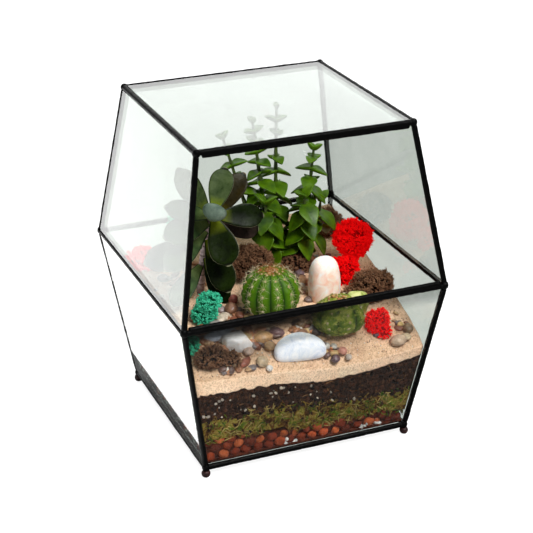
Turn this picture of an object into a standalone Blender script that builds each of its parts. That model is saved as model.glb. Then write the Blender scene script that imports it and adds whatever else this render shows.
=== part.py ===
"""Glass plant terrarium: a soldered glass case, open at its upper front, with a layered bed inside
that carries an echeveria, a crassula, two cacti, dyed reindeer moss and a few stones.

The origin is at the middle of the footprint, on the surface that the feet stand on. -Y is the front.
"""

import math

import bmesh
import bpy
from mathutils import Matrix, Vector, noise

MM = 0.001

# The case: two tiers, narrow at the base and the rim, wide at the girdle between them.
GIRDLE = 200 * MM
RIM = 161 * MM
TIER = 121 * MM
BASE_Z = 7.5 * MM
GLASS = 3 * MM
SEAM_R = 1.7 * MM
LIP_R = 1.3 * MM
LIP_OFFSET = 2.3 * MM
BLOB_R = 2.4 * MM
PANE_INSET = 2.1 * MM
SEAM_END = 2.8 * MM
RING_SHORT = 1.3 * MM
FOOT_R = 3.3 * MM
FOOT_TOP = 4.75 * MM
FOOT_CENTRE_Z = 2.6 * MM

GAP = 0.35 * MM
GRID = 10
LEAF_BREADTH = 0.78

# The bed: heights of each layer's top, in millimetres, at the middle and their fall towards +X.
CLAY_TOP, CLAY_FALL = 25.0, 5.0
MOSS_TOP, MOSS_FALL = 44.5, 5.5
SAND_FRONT_LEFT, SAND_FRONT_RIGHT = 92.0, 78.5
SAND_BACK_LEFT, SAND_BACK_RIGHT = 104.0, 121.5
SAND_RISE = 0.8
SAND_CROWN = 5.0
SAND_DIP = 3.5
SAND_SLUMP = 8.5
SAND_DEPTH, SAND_THINNING = 9.6, 2.4

LEVELS = {"base": (BASE_Z, RIM), "girdle": (BASE_Z + TIER, GIRDLE), "rim": (BASE_Z + 2 * TIER, RIM)}
CORNERS = {"front_left": (-1, -1), "front_right": (1, -1), "back_right": (1, 1), "back_left": (-1, 1)}
SIDES = {
    "front": ("front_left", "front_right"),
    "right": ("front_right", "back_right"),
    "back": ("back_right", "back_left"),
    "left": ("back_left", "front_left"),
}

for old in list(bpy.data.objects):
    bpy.data.objects.remove(old, do_unlink=True)

PARTS = bpy.data.collections.new("glass_plant_terrarium")
CUTTERS = bpy.data.collections.new("cutters")
bpy.context.scene.collection.children.link(PARTS)
bpy.context.scene.collection.children.link(CUTTERS)


# ---------------------------------------------------------------- materials and objects


def material(name, colour, roughness=0.5, metallic=0.0, alpha=1.0):
    made = bpy.data.materials.get(name) or bpy.data.materials.new(name)
    made.use_nodes = True
    shader = made.node_tree.nodes["Principled BSDF"]
    shader.inputs["Base Color"].default_value = (*colour, 1.0)
    shader.inputs["Roughness"].default_value = roughness
    shader.inputs["Metallic"].default_value = metallic
    shader.inputs["Alpha"].default_value = alpha
    made.diffuse_color = (*colour, alpha)
    return made


SEAM = material("black_patina", (0.02, 0.02, 0.02), 0.35, 0.9)
FOOT = material("copper_foot", (0.16, 0.05, 0.03), 0.45, 0.7)
PANE = material("clear_glass", (0.80, 0.86, 0.84), 0.03, 0.0, 0.25)
CLAY = material("clay_balls", (0.42, 0.14, 0.08), 0.9)
DRY_MOSS = material("sphagnum", (0.26, 0.25, 0.06), 0.95)
SOIL = material("potting_soil", (0.035, 0.022, 0.015), 0.95)
SAND = material("fine_sand", (0.62, 0.43, 0.28), 0.95)
WHITE_STONE = material("white_stone", (0.85, 0.87, 0.90), 0.5)
MARBLE = material("marble", (0.88, 0.86, 0.83), 0.6)
QUARTZ = material("rose_quartz", (0.88, 0.70, 0.62), 0.25)
PEBBLE = material("river_pebble", (0.45, 0.32, 0.24), 0.55)
RED_MOSS = material("red_moss", (0.80, 0.01, 0.02), 0.95)
TEAL_MOSS = material("teal_moss", (0.05, 0.40, 0.25), 0.95)
BROWN_MOSS = material("brown_moss", (0.17, 0.11, 0.07), 0.95)
CACTUS = material("cactus_green", (0.07, 0.22, 0.02), 0.5)
CRASSULA = material("crassula_green", (0.12, 0.32, 0.03), 0.4)
ECHEVERIA = material("echeveria_green", (0.10, 0.17, 0.05), 0.45)
STEM = material("pale_stem", (0.55, 0.42, 0.40), 0.6)


def keep(name, bm, finish, smooth=True):
    """The bmesh as a named part with this material."""
    mesh = bpy.data.meshes.new(name)
    bm.to_mesh(mesh)
    bm.free()
    if smooth:
        mesh.shade_smooth()
        mesh.set_sharp_from_angle(angle=math.radians(40))
    mesh.materials.append(finish)
    part = bpy.data.objects.new(name, mesh)
    PARTS.objects.link(part)
    return part


def as_cutter(name, bm):
    """The bmesh as a hidden helper for a Boolean."""
    mesh = bpy.data.meshes.new(name)
    bm.to_mesh(mesh)
    bm.free()
    helper = bpy.data.objects.new(name, mesh)
    helper.hide_render = True
    helper.display_type = "WIRE"
    CUTTERS.objects.link(helper)
    return helper


def boolean(part, helper, operation):
    step = part.modifiers.new(helper.name, "BOOLEAN")
    step.operation = operation
    step.solver = "EXACT"
    step.object = helper


def united(name, pieces, finish):
    """One body from several overlapping bmeshes."""
    whole = keep(name, pieces[0], finish)
    for number, piece in enumerate(pieces[1:]):
        boolean(whole, as_cutter(f"{name}_add_{number}", piece), "UNION")
    return whole


# ---------------------------------------------------------------- the case


def corner(level, name):
    height, width = LEVELS[level]
    x, y = CORNERS[name]
    return Vector((x * width / 2, y * width / 2, height))


def rod(start, end, radius, sides=8):
    along = end - start
    turn = along.to_track_quat("Z", "Y").to_matrix().to_4x4()
    bm = bmesh.new()
    bmesh.ops.create_cone(
        bm,
        cap_ends=True,
        segments=sides,
        radius1=radius,
        radius2=radius,
        depth=along.length,
        matrix=Matrix.Translation((start + end) / 2) @ turn,
    )
    return bm


def ball(centre, radius):
    """A solder blob, turned so that none of its corners lies on a seam's faces."""
    bm = bmesh.new()
    turned = Matrix.Translation(centre) @ Matrix.Rotation(0.37, 4, (0.3, 0.2, 1.0))
    bmesh.ops.create_uvsphere(bm, u_segments=9, v_segments=7, radius=radius, matrix=turned)
    return bm


def lip(level, towards):
    """The second bead that thickens the seam along the open front facet, ending short of the corners."""
    left = corner(level, "front_left")
    right = corner(level, "front_right")
    up = (corner(towards, "front_left") + corner(towards, "front_right") - left - right).normalized()
    short = Vector((4 * MM, 0, 0))
    return rod(left + short + up * LIP_OFFSET, right - short + up * LIP_OFFSET, LIP_R, 10)


def seam_ring(name, level, towards=None):
    """The four horizontal seams of one level with the solder blobs that join them at the corners."""
    pieces = []
    for a, b in SIDES.values():
        start, end = corner(level, a), corner(level, b)
        short = (end - start).normalized() * RING_SHORT
        pieces.append(rod(start + short, end - short, SEAM_R))
    pieces += [ball(corner(level, each), BLOB_R) for each in CORNERS]
    if towards:
        pieces.append(lip(level, towards))
    united(name, pieces, SEAM)


def corner_seams():
    for tier, low, high in (("lower", "base", "girdle"), ("upper", "girdle", "rim")):
        for name in CORNERS:
            start, end = corner(low, name), corner(high, name)
            along = (end - start).normalized() * SEAM_END
            keep(f"{tier}_seam_{name}", rod(start + along, end - along, SEAM_R), SEAM)


def pane(name, outline):
    """A flat sheet of glass that stops short of the seams round it."""
    normal = (outline[1] - outline[0]).cross(outline[3] - outline[0]).normalized()
    count = len(outline)
    edges = []
    for i in range(count):
        along = (outline[(i + 1) % count] - outline[i]).normalized()
        edges.append((outline[i] + normal.cross(along) * PANE_INSET, along))
    bm = bmesh.new()
    verts = []
    for i in range(count):
        point, along = edges[i]
        before, back = edges[i - 1]
        inward = normal.cross(back)
        distance = (before - point).dot(inward) / along.dot(inward)
        verts.append(bm.verts.new(point + along * distance))
    bm.faces.new(verts)
    sheet = keep(name, bm, PANE, smooth=False)
    thick = sheet.modifiers.new("thickness", "SOLIDIFY")
    thick.thickness = GLASS
    thick.offset = 0.0


def panes():
    pane("base_pane", [corner("base", each) for each in CORNERS])
    pane("top_pane", [corner("rim", each) for each in CORNERS])
    for side, (a, b) in SIDES.items():
        girdle = [corner("girdle", b), corner("girdle", a)]
        pane(f"lower_{side}_pane", [corner("base", a), corner("base", b)] + girdle)
        if side != "front":
            pane(f"upper_{side}_pane", girdle[::-1] + [corner("rim", b), corner("rim", a)])


def feet():
    for name in CORNERS:
        centre = corner("base", name)
        centre.z = FOOT_CENTRE_Z
        bm = bmesh.new()
        bmesh.ops.create_uvsphere(
            bm, u_segments=12, v_segments=8, radius=FOOT_R, matrix=Matrix.Translation(centre)
        )
        for height, outward in ((0.0, (0, 0, -1)), (FOOT_TOP, (0, 0, 1))):
            cut = bmesh.ops.bisect_plane(
                bm,
                geom=bm.verts[:] + bm.edges[:] + bm.faces[:],
                plane_co=(0, 0, height),
                plane_no=outward,
                clear_outer=True,
            )
            rim = [each for each in cut["geom_cut"] if isinstance(each, bmesh.types.BMEdge)]
            bmesh.ops.contextual_create(bm, geom=rim)
        bmesh.ops.recalc_face_normals(bm, faces=bm.faces)
        keep(f"foot_{name}", bm, FOOT)


# ---------------------------------------------------------------- the bed


def inner_half(z):
    """Half the clear width between the lower panes at a height, in metres."""
    slope = (GIRDLE - RIM) / 2 / TIER
    wall = GLASS / 2 * math.hypot(1, slope) + 0.4 * MM
    return RIM / 2 + slope * (z - BASE_Z) - wall


def floor_z(_u, _v):
    return (BASE_Z + GLASS / 2) / MM + 0.4


def clay_z(u, v):
    return CLAY_TOP - CLAY_FALL * u + 1.2 * math.sin(5 * u + 2 * v)


def moss_z(u, v):
    return MOSS_TOP - MOSS_FALL * u + 2.0 * v + 1.2 * math.sin(4 * u - 3 * v)


def sand_z(u, v):
    back = ((v + 1) / 2) ** SAND_RISE if v > -1 else 0.0
    right = (u + 1) / 2
    front_edge = SAND_FRONT_LEFT + (SAND_FRONT_RIGHT - SAND_FRONT_LEFT) * right
    back_edge = SAND_BACK_LEFT + (SAND_BACK_RIGHT - SAND_BACK_LEFT) * right
    crown = SAND_CROWN * (1 - u * u) * (1 - v * v)
    dip = SAND_DIP * math.exp(-(((u - 0.2) / 0.35) ** 2)) * max(0.0, -v) ** 2
    shallow = max(0.0, (u - 0.3) / 0.65) ** 2
    slump = SAND_SLUMP * (1 - 0.65 * shallow) * max(0.0, -2 * v - 1) ** 3
    return front_edge + (back_edge - front_edge) * back + crown - dip - slump


def soil_z(u, v):
    return sand_z(u, v) - SAND_DEPTH + SAND_THINNING * u


def bed_layer(name, low, high, finish=None):
    """A slab between two surfaces that fills the case from wall to wall."""
    bm = bmesh.new()
    bmesh.ops.create_grid(bm, x_segments=GRID, y_segments=GRID, size=1.0)
    lifted = bmesh.ops.extrude_face_region(bm, geom=bm.faces[:])
    raised = {each for each in lifted["geom"] if isinstance(each, bmesh.types.BMVert)}
    for vert in bm.verts:
        u, v = vert.co.x, vert.co.y
        z = high(u, v) * MM if vert in raised else low(u, v) * MM
        half = inner_half(z)
        vert.co = (u * half, v * half, z)
    bmesh.ops.recalc_face_normals(bm, faces=bm.faces)
    return keep(name, bm, finish) if finish else as_cutter(name, bm)


def above(surface):
    """The same surface, clear of the layer under it."""
    return lambda u, v: surface(u, v) + GAP / MM


def bed():
    bed_layer("clay_drainage", floor_z, clay_z, CLAY)
    bed_layer("moss_filter", above(clay_z), moss_z, DRY_MOSS)
    bed_layer("soil", above(moss_z), soil_z, SOIL)
    return bed_layer("sand", above(soil_z), sand_z, SAND)


def ground_z(x, y):
    """The sand's height at a place, with x and y in millimetres."""
    half = inner_half(95 * MM) / MM
    return sand_z(max(-1.0, min(1.0, x / half)), max(-1.0, min(1.0, y / half)))


# ---------------------------------------------------------------- stones


def superball(radii, power, rings=8, sides=12):
    """A ball in millimetres whose outline is fuller than an ellipsoid's where power is under one."""
    bm = bmesh.new()
    bmesh.ops.create_uvsphere(bm, u_segments=sides, v_segments=rings, radius=1.0)
    for vert in bm.verts:
        flat = math.hypot(vert.co.x, vert.co.y)
        full = flat ** (power - 1) if flat > 0.01 else 0.0
        vert.co.x *= full * radii[0] * MM
        vert.co.y *= full * radii[1] * MM
        vert.co.z *= radii[2] * MM
    return bm


def roughen(bm, amount, scale, seed):
    """Moves each vertex along its normal by smooth noise, amount in millimetres."""
    bm.normal_update()
    for vert in bm.verts:
        step = noise.noise(vert.co / MM / scale + Vector((seed, seed * 1.7, 0)))
        vert.co += vert.normal * step * amount * MM


def place(bm, x, y, z, turn=0.0, tilt=0.0):
    """Turns about Z and tilts about X in degrees, then moves to a place in millimetres."""
    matrix = Matrix.Translation(Vector((x, y, z)) * MM)
    matrix @= Matrix.Rotation(math.radians(turn), 4, "Z") @ Matrix.Rotation(math.radians(tilt), 4, "X")
    bmesh.ops.transform(bm, matrix=matrix, verts=bm.verts)
    bmesh.ops.recalc_face_normals(bm, faces=bm.faces)


def set_in_sand(name, bm, finish, sand):
    """Keeps the stone whole and cuts its print from the sand."""
    print_bm = bm.copy()
    print_bm.normal_update()
    for vert in print_bm.verts:
        vert.co += vert.normal * GAP * 1.3
    keep(name, bm, finish)
    boolean(sand, as_cutter(f"{name}_print", print_bm), "DIFFERENCE")


def bean_stone(sand):
    bm = superball((20.0, 9.0, 10.5), 0.85)
    for vert in bm.verts:
        vert.co.y -= (vert.co.x / MM / 20.0) ** 2 * 2.5 * MM
    place(bm, -6, -80, ground_z(-6, -80) + 4.0, -3)
    set_in_sand("white_bean_stone", bm, WHITE_STONE, sand)


def marble_chunk(sand):
    bm = bmesh.new()
    bmesh.ops.create_cube(bm, size=1.0)
    for vert in bm.verts:
        vert.co = Vector((vert.co.x * 18 + vert.co.z * 3, vert.co.y * 13, vert.co.z * 13)) * MM
    bmesh.ops.bevel(bm, geom=bm.edges[:], offset=3 * MM, segments=2, affect="EDGES", profile=0.6)
    roughen(bm, 1.2, 9, 3)
    place(bm, -49, -67, ground_z(-49, -67) + 4.0, -14, 6)
    set_in_sand("marble_chunk", bm, MARBLE, sand)


def quartz_pillar(sand):
    bm = superball((12.3, 10.0, 20.0), 0.55, rings=10)
    roughen(bm, 0.8, 14, 5)
    place(bm, 36, -30, ground_z(36, -30) + 13.7, 0, -4)
    set_in_sand("quartz_pillar", bm, QUARTZ, sand)


def pebbles(sand):
    rows = (
        ("pebble_tan", -29, -66, 7.5, 6.0, 4.6, 20),
        ("pebble_grey", 72, -84, 6.5, 5.4, 3.8, -15),
    )
    for seed, (name, x, y, a, b, c, turn) in enumerate(rows):
        bm = superball((a, b, c), 0.9, rings=6, sides=10)
        roughen(bm, 0.8, 6, seed + 7)
        place(bm, x, y, ground_z(x, y) + c * 0.5, turn)
        set_in_sand(name, bm, PEBBLE, sand)


# ---------------------------------------------------------------- moss, cacti and plants


def rest_on(part, ground):
    boolean(part, ground, "DIFFERENCE")


def moss_clump(name, centre, radii, finish, ground, seed):
    bm = bmesh.new()
    bmesh.ops.create_icosphere(bm, subdivisions=2, radius=1.0)
    for vert in bm.verts:
        swell = 1.0 + 0.18 * noise.noise(vert.co * 1.6 + Vector((seed, 0, seed * 0.7)))
        spot = Vector([c + r * swell * axis for c, r, axis in zip(centre, radii, vert.co)])
        vert.co = spot * MM
    bmesh.ops.recalc_face_normals(bm, faces=bm.faces)
    rest_on(keep(name, bm, finish), ground)


def moss_clumps(ground):
    rows = (
        ("red_moss_right", (72, 0, 119), (20.5, 15, 25), RED_MOSS),
        ("red_moss_front", (62, -71, 91), (9.5, 9.3, 12), RED_MOSS),
        ("red_moss_back_left", (-74, 74, 106), (15.0, 14, 14), RED_MOSS),
        ("teal_moss_left", (-57, -33, 110), (12.0, 11, 13), TEAL_MOSS),
        ("teal_moss_back", (-36, 76, 132), (15.0, 12, 22), TEAL_MOSS),
        ("brown_moss_middle", (-8, 12, 119), (17.0, 15, 15), BROWN_MOSS),
        ("brown_moss_right", (73, -37, 103), (18.5, 12, 16), BROWN_MOSS),
        ("brown_moss_back", (77, 58, 121), (15.0, 15, 14), BROWN_MOSS),
        ("brown_moss_front_left", (-71, -79, 96), (15.5, 10, 10.5), BROWN_MOSS),
    )
    for seed, (name, centre, radii, finish) in enumerate(rows):
        moss_clump(name, centre, radii, finish, ground, seed + 1.3)


def ribbed_cactus(name, x, y, radius, height, ribs, sink, ground, rings=9):
    """A globe with ribs, a dimple on top and its foot cut off at the sand."""
    bm = bmesh.new()
    bmesh.ops.create_uvsphere(bm, u_segments=2 * ribs, v_segments=rings, radius=1.0)
    base = ground_z(x, y)
    for vert in bm.verts:
        angle = math.atan2(vert.co.y, vert.co.x)
        groove = 0.5 - 0.5 * math.cos(angle * ribs)
        flat = math.hypot(vert.co.x, vert.co.y)
        shrink = 1.0 - 0.12 * groove if flat > 0.01 else 1.0
        dimple = 0.12 * max(0.0, vert.co.z) * math.exp(-((flat / 0.3) ** 2))
        spot = (
            x + vert.co.x * shrink * radius,
            y + vert.co.y * shrink * radius,
            base - sink + (vert.co.z - dimple + 1) * height / 2,
        )
        vert.co = Vector(spot) * MM
    bmesh.ops.recalc_face_normals(bm, faces=bm.faces)
    rest_on(keep(name, bm, CACTUS), ground)


def leaf(length, width, thick, curl, base=0.3, fullest=0.6, sides=8, rings=6):
    """A fleshy leaf along +Z with its upper face towards +Y, in millimetres, curling back by curl."""
    bm = bmesh.new()
    bmesh.ops.create_uvsphere(bm, u_segments=sides, v_segments=rings, radius=1.0)
    for vert in bm.verts:
        s = (vert.co.z + 1) / 2
        taper = base + (1 - base) * math.sin(math.pi / 2 * min(1.0, s / fullest))
        vert.co = Vector(
            (
                vert.co.x * taper * width / 2,
                vert.co.y * taper * thick / 2 + curl * s * s,
                s * length,
            )
        )
    bmesh.ops.scale(bm, vec=(MM, MM, MM), verts=bm.verts)
    return bm


def aim(bm, start, tip, face):
    """Lays a leaf from start towards tip, in millimetres, with its upper face turned to face."""
    along = (tip - start).normalized()
    side = face.cross(along).normalized()
    up = along.cross(side)
    frame = Matrix((side, up, along)).transposed().to_4x4()
    frame.translation = start * MM
    bmesh.ops.transform(bm, matrix=frame, verts=bm.verts)
    bmesh.ops.recalc_face_normals(bm, faces=bm.faces)
    return bm


def along_path(points, s):
    """The point at a share s of a path's length, and its direction there."""
    spans = [(b - a).length for a, b in zip(points, points[1:])]
    left = s * sum(spans)
    for a, b, span in zip(points, points[1:], spans):
        if left <= span:
            return a.lerp(b, left / span), (b - a).normalized()
        left -= span
    return points[-1], (points[-1] - points[-2]).normalized()


def tube(points, radius):
    """A six-sided tube in millimetres through these points, as a mesh with its caps closed."""
    curve = bpy.data.curves.new("route", "CURVE")
    curve.dimensions = "3D"
    curve.bevel_depth = radius * MM
    curve.bevel_resolution = 1
    curve.use_fill_caps = True
    spline = curve.splines.new("POLY")
    spline.points.add(len(points) - 1)
    for knot, point in zip(spline.points, points):
        knot.co = (*(point * MM), 1.0)
    holder = bpy.data.objects.new("route", curve)
    CUTTERS.objects.link(holder)
    graph = bpy.context.evaluated_depsgraph_get()
    mesh = bpy.data.meshes.new_from_object(holder.evaluated_get(graph))
    bm = bmesh.new()
    bm.from_mesh(mesh)
    bmesh.ops.remove_doubles(bm, verts=bm.verts, dist=1e-6)
    bmesh.ops.recalc_face_normals(bm, faces=bm.faces)
    bpy.data.objects.remove(holder)
    bpy.data.meshes.remove(mesh)
    return bm


def shoot(points, pairs, size, spin):
    """A crassula shoot: leaf pairs, each at a right angle to the last and smaller towards the tip."""
    pieces = [tube(points, 1.6)]
    for k in range(pairs):
        s = 0.16 + 0.84 * k / (pairs - 1)
        spot, along = along_path(points, s)
        shrink = 1.0 - 0.42 * (k / (pairs - 1)) ** 2
        across = along.cross(Vector((math.cos(spin), math.sin(spin), 0))).normalized()
        if k % 2:
            across = across.cross(along)
        rise = 0.95 if k == pairs - 1 else 0.3
        for way in (-1, 1):
            outward = (across * way + along * rise).normalized()
            start = spot - outward * 0.5
            blade = leaf(size * shrink, size * shrink * LEAF_BREADTH, 3.6, -2.5 * shrink, 0.45, 0.45, 6, 4)
            pieces.append(aim(blade, start, start + outward, along))
    return pieces


def crassula(ground):
    """Five shoots from one foot, joined as they grow."""
    root = ground_z(30, 28) - 6
    shoots = (
        ((28, 29), (17, 33, 145), (5, 36, 228), 6, 18.0, 0.4),
        ((27, 31), (8, 38, 150), (-19, 37, 218), 5, 15.0, 1.2),
        ((30, 31), (28, 42, 160), (29, 46, 233), 6, 15.0, 0.0),
        ((31, 28), (42, 22, 150), (49, 20, 203), 5, 16.0, 0.9),
        ((29.5, 26.5), (33, 14, 140), (34, 7, 172), 4, 20.0, 0.2),
    )
    pieces = []
    for number, ((x, y), middle, tip, pairs, size, spin) in enumerate(shoots):
        path = [Vector((x, y, root - number)), Vector(middle), Vector(tip)]
        pieces += shoot(path, pairs, size, spin)
    plant = united("crassula", pieces, CRASSULA)
    rest_on(plant, ground)


def echeveria(ground):
    """A leggy rosette on a bare stem that bends towards the front, each leaf a part of its own."""
    knots = ((-50, 10, 95), (-49, 4, 130), (-46, 0, 158), (-44, -6, 169), (-46, -15, 177))
    path = [Vector(knot) for knot in knots]
    length = sum((b - a).length for a, b in zip(path, path[1:]))
    rest_on(keep("echeveria_stem", tube(path, 2.6), STEM), ground)
    rows = (
        ("centre", 0.0, (-52, -36, 188), 16, 22),
        ("upper", 4.0, (-30, 2, 203), 18, 30),
        ("lower_middle", 6.0, (-41, -31, 142), 22, 38),
        ("left", 9.0, (-82, -14, 187), 15, 36),
        ("right", 9.0, (-6, -10, 167), 18, 36),
        ("upper_left", 14.0, (-69, -6, 211), 18, 38),
        ("upper_right", 14.0, (-14, 6, 195), 17, 34),
        ("left_under", 16.0, (-86, -22, 167), 20, 38),
        ("right_under", 19.0, (-3, 8, 149), 18, 40),
        ("left_low", 24.0, (-87, -24, 143), 20, 42),
        ("lower_second", 30.0, (-38, -21, 116), 20, 40),
        ("left_outer", 36.0, (-90, 14, 133), 21, 44),
        ("lowest", 46.0, (-38, -14, 103), 16, 34),
        ("left_hanging", 54.0, (-80, -16, 110), 16, 36),
    )
    for name, back, tip, width, size in rows:
        spot, along = along_path(path, 1.0 - back / length)
        tip = Vector(tip)
        outward = tip - spot
        if back:
            outward -= along * outward.dot(along) * 0.75
        start = spot + outward.normalized() * (3.6 if back else 0.5)
        face = Vector((-0.30, -0.80, 0.50)) if back else Vector((0, -0.4, 0.9))
        blade = leaf((tip - start).length, width, 4.2, 0.0, 0.22, 0.72)
        keep(f"echeveria_leaf_{name}", aim(blade, start, tip, face), ECHEVERIA)


def main():
    seam_ring("base_rim", "base")
    seam_ring("girdle", "girdle", "rim")
    seam_ring("top_rim", "rim", "girdle")
    corner_seams()
    panes()
    feet()
    sand = bed()
    ground = bed_layer("ground_cut", lambda u, v: sand_z(u, v) - 50, above(sand_z))
    bean_stone(sand)
    marble_chunk(sand)
    quartz_pillar(sand)
    pebbles(sand)
    moss_clumps(ground)
    ribbed_cactus("globe_cactus", -11, -38, 22.0, 40.0, 12, 3.0, ground)
    ribbed_cactus("small_cactus", 31, -65, 19.5, 30.0, 8, 3.0, ground, 8)
    crassula(ground)
    echeveria(ground)


main()
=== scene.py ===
"""Looks of the glass plant terrarium: its case, layered bed, stones, mosses, cacti and plants.

Lengths in the tables are millimetres in the part's own frame: origin at the middle of the footprint
on the surface the feet stand on, -Y the front, +X right.
"""

import math

import bmesh
import bpy
import numpy as np
from mathutils import Matrix, Vector


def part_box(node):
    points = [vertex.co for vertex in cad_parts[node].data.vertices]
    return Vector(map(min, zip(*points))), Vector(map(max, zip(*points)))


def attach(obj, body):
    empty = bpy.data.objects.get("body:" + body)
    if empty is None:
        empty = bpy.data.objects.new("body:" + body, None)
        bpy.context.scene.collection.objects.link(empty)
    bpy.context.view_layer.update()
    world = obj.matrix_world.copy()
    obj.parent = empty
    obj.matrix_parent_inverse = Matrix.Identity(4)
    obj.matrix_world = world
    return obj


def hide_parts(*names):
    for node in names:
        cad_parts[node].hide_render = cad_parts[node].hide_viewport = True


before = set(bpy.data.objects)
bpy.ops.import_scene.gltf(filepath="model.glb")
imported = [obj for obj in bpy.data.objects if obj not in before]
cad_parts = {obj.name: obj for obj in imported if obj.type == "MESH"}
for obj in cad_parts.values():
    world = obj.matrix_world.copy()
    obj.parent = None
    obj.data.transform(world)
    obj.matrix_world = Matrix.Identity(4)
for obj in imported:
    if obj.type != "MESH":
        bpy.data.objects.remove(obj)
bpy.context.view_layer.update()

MM = 0.001
CUBE_CORNERS = [(i, j, k) for i in (0, 1) for j in (0, 1) for k in (0, 1)]


def node_box(node):
    """A CAD node's lowest and highest corners, in millimetres."""
    low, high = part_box(node)
    return np.array(low) / MM, np.array(high) / MM


# ---------------------------------------------------------------- numbers and noise


def lattice(cells, seed):
    """A repeatable number from 0 to 1 for each whole-numbered cell, by an integer hash of large primes."""
    x, y, z = np.moveaxis(cells.astype(np.int64), -1, 0)
    mixed = x * 73856093 ^ y * 19349663 ^ z * 83492791 ^ (seed * 2654435761)
    mixed = (mixed ^ (mixed >> 13)) * 1274126177 & 0x7FFFFFFF
    mixed = (mixed ^ (mixed >> 16)) * 668265263 & 0x7FFFFFFF
    return mixed / 0x7FFFFFFF


def wobble(points, size, seed=0):
    """Smooth noise from -1 to 1 whose lumps are about size across, in the points' own unit."""
    scaled = np.asarray(points, float) / size
    low = np.floor(scaled)
    part = scaled - low
    part = part * part * (3 - 2 * part)
    total = np.zeros(scaled.shape[:-1])
    for corner in CUBE_CORNERS:
        share = np.prod(np.where(np.array(corner) == 1, part, 1 - part), axis=-1)
        total += share * lattice(low + corner, seed)
    return total * 2 - 1


def unit(vectors):
    vectors = np.asarray(vectors, float)
    return vectors / np.maximum(np.linalg.norm(vectors, axis=-1, keepdims=True), 1e-12)


def linear(colour):
    """An sRGB colour from 0 to 1, or one number for a grey, as scene-linear RGBA."""
    parts = (colour,) * 3 if np.isscalar(colour) else colour
    return tuple(((c + 0.055) / 1.055) ** 2.4 if c > 0.04045 else c / 12.92 for c in parts) + (1.0,)


def paint(colour):
    """The same as the three numbers that a vertex holds."""
    return np.array(linear(colour)[:3])


def chance(rng):
    """A seed and three angles, for a stone that lies any way up."""
    return int(rng.integers(1e6)), rng.uniform(0, 6, 3)


# ---------------------------------------------------------------- meshes


class Shape:
    """Vertices in millimetres, faces by size, and a colour for each vertex."""

    def __init__(self):
        self.verts, self.faces, self.tints, self.marks = [], {}, [], []
        self.count = 0

    def add(self, verts, faces, tint=(1, 1, 1), mark=0.0):
        verts = np.asarray(verts, float).reshape(-1, 3)
        for each in faces:
            each = np.asarray(each, np.int64)
            self.faces.setdefault(each.shape[1], []).append(each + self.count)
        self.verts.append(verts)
        self.tints.append(np.broadcast_to(np.asarray(tint, float), (len(verts), 3)))
        self.marks.append(np.broadcast_to(np.asarray(mark, float), (len(verts),)))
        self.count += len(verts)

    def arrays(self):
        return np.concatenate(self.verts), np.concatenate(self.tints), np.concatenate(self.marks)


def piece(name, shape, material, replaced=()):
    """Makes the shape an object that rides with the case."""
    verts, tints, marks = shape.arrays()
    groups = [np.concatenate(rows) for _, rows in sorted(shape.faces.items())]
    sizes = np.concatenate([np.full(len(g), g.shape[1]) for g in groups])
    mesh = bpy.data.meshes.new(name)
    mesh.vertices.add(len(verts))
    mesh.vertices.foreach_set("co", (verts * MM).astype(np.float32).ravel())
    mesh.loops.add(int(sizes.sum()))
    mesh.loops.foreach_set("vertex_index", np.concatenate([g.ravel() for g in groups]).astype(np.int32))
    mesh.polygons.add(len(sizes))
    mesh.polygons.foreach_set("loop_start", np.concatenate([[0], np.cumsum(sizes)[:-1]]).astype(np.int32))
    mesh.polygons.foreach_set("use_smooth", np.full(len(sizes), True))
    colour = mesh.attributes.new("tint", "FLOAT_COLOR", "POINT")
    colour.data.foreach_set("color", np.column_stack([tints, np.ones(len(tints))]).astype(np.float32).ravel())
    mark = mesh.attributes.new("mark", "FLOAT", "POINT")
    mark.data.foreach_set("value", marks.astype(np.float32))
    mesh.update(calc_edges=True)
    mesh.validate()
    return settle(bpy.data.objects.new(name, mesh), material, replaced)


def solid(name, verts, faces, material, slot, replaced=(), **look):
    """A piece made of one body."""
    shape = Shape()
    shape.add(verts, faces, **look)
    return piece(name, shape, material, replaced)


def settle(ob, material, replaced=()):
    """Gives an object its one material and its place on the case."""
    if ob.name not in bpy.context.scene.collection.objects:
        bpy.context.scene.collection.objects.link(ob)
    ob.data.materials.clear()
    ob.data.materials.append(material)
    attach(ob, "root")
    if replaced:
        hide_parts(*replaced)
    return ob


def ball_template(detail):
    """The vertices of a unit ball, and its triangles in a list as Shape.add takes them."""
    bm = bmesh.new()
    bmesh.ops.create_icosphere(bm, subdivisions=detail, radius=1.0)
    verts = np.array([v.co[:] for v in bm.verts])
    faces = np.array([[v.index for v in f.verts] for f in bm.faces])
    bm.free()
    return verts, [faces]


BALLS = {detail: ball_template(detail) for detail in (1, 2, 3, 4, 5)}


def turned(angles):
    """A rotation matrix from three angles in radians."""
    ax, ay, az = angles
    turn = Matrix.Rotation(az, 3, "Z") @ Matrix.Rotation(ay, 3, "Y") @ Matrix.Rotation(ax, 3, "X")
    return np.array(turn)


def stone(centre, radii, seed, angles=(0, 0, 0), detail=3, lump=0.12, flat=0.0):
    """A pebble: a ball with smooth lumps, flattened by chance planes where flat is over zero."""
    verts, faces = BALLS[detail]
    shape = verts.copy()
    if flat:
        rng = np.random.default_rng(seed)
        for normal in unit(rng.normal(size=(9, 3))):
            reach = shape @ normal
            over = np.maximum(reach - (1 - flat * rng.uniform(0.5, 1.0)), 0)
            shape -= 0.85 * over[:, None] * normal
    broad, fine = wobble(verts, 0.9, seed)[:, None], wobble(verts, 0.35, seed + 1)[:, None]
    shape *= 1 + lump * broad + 0.35 * lump * fine
    return shape * radii @ turned(angles).T + centre, faces


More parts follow.
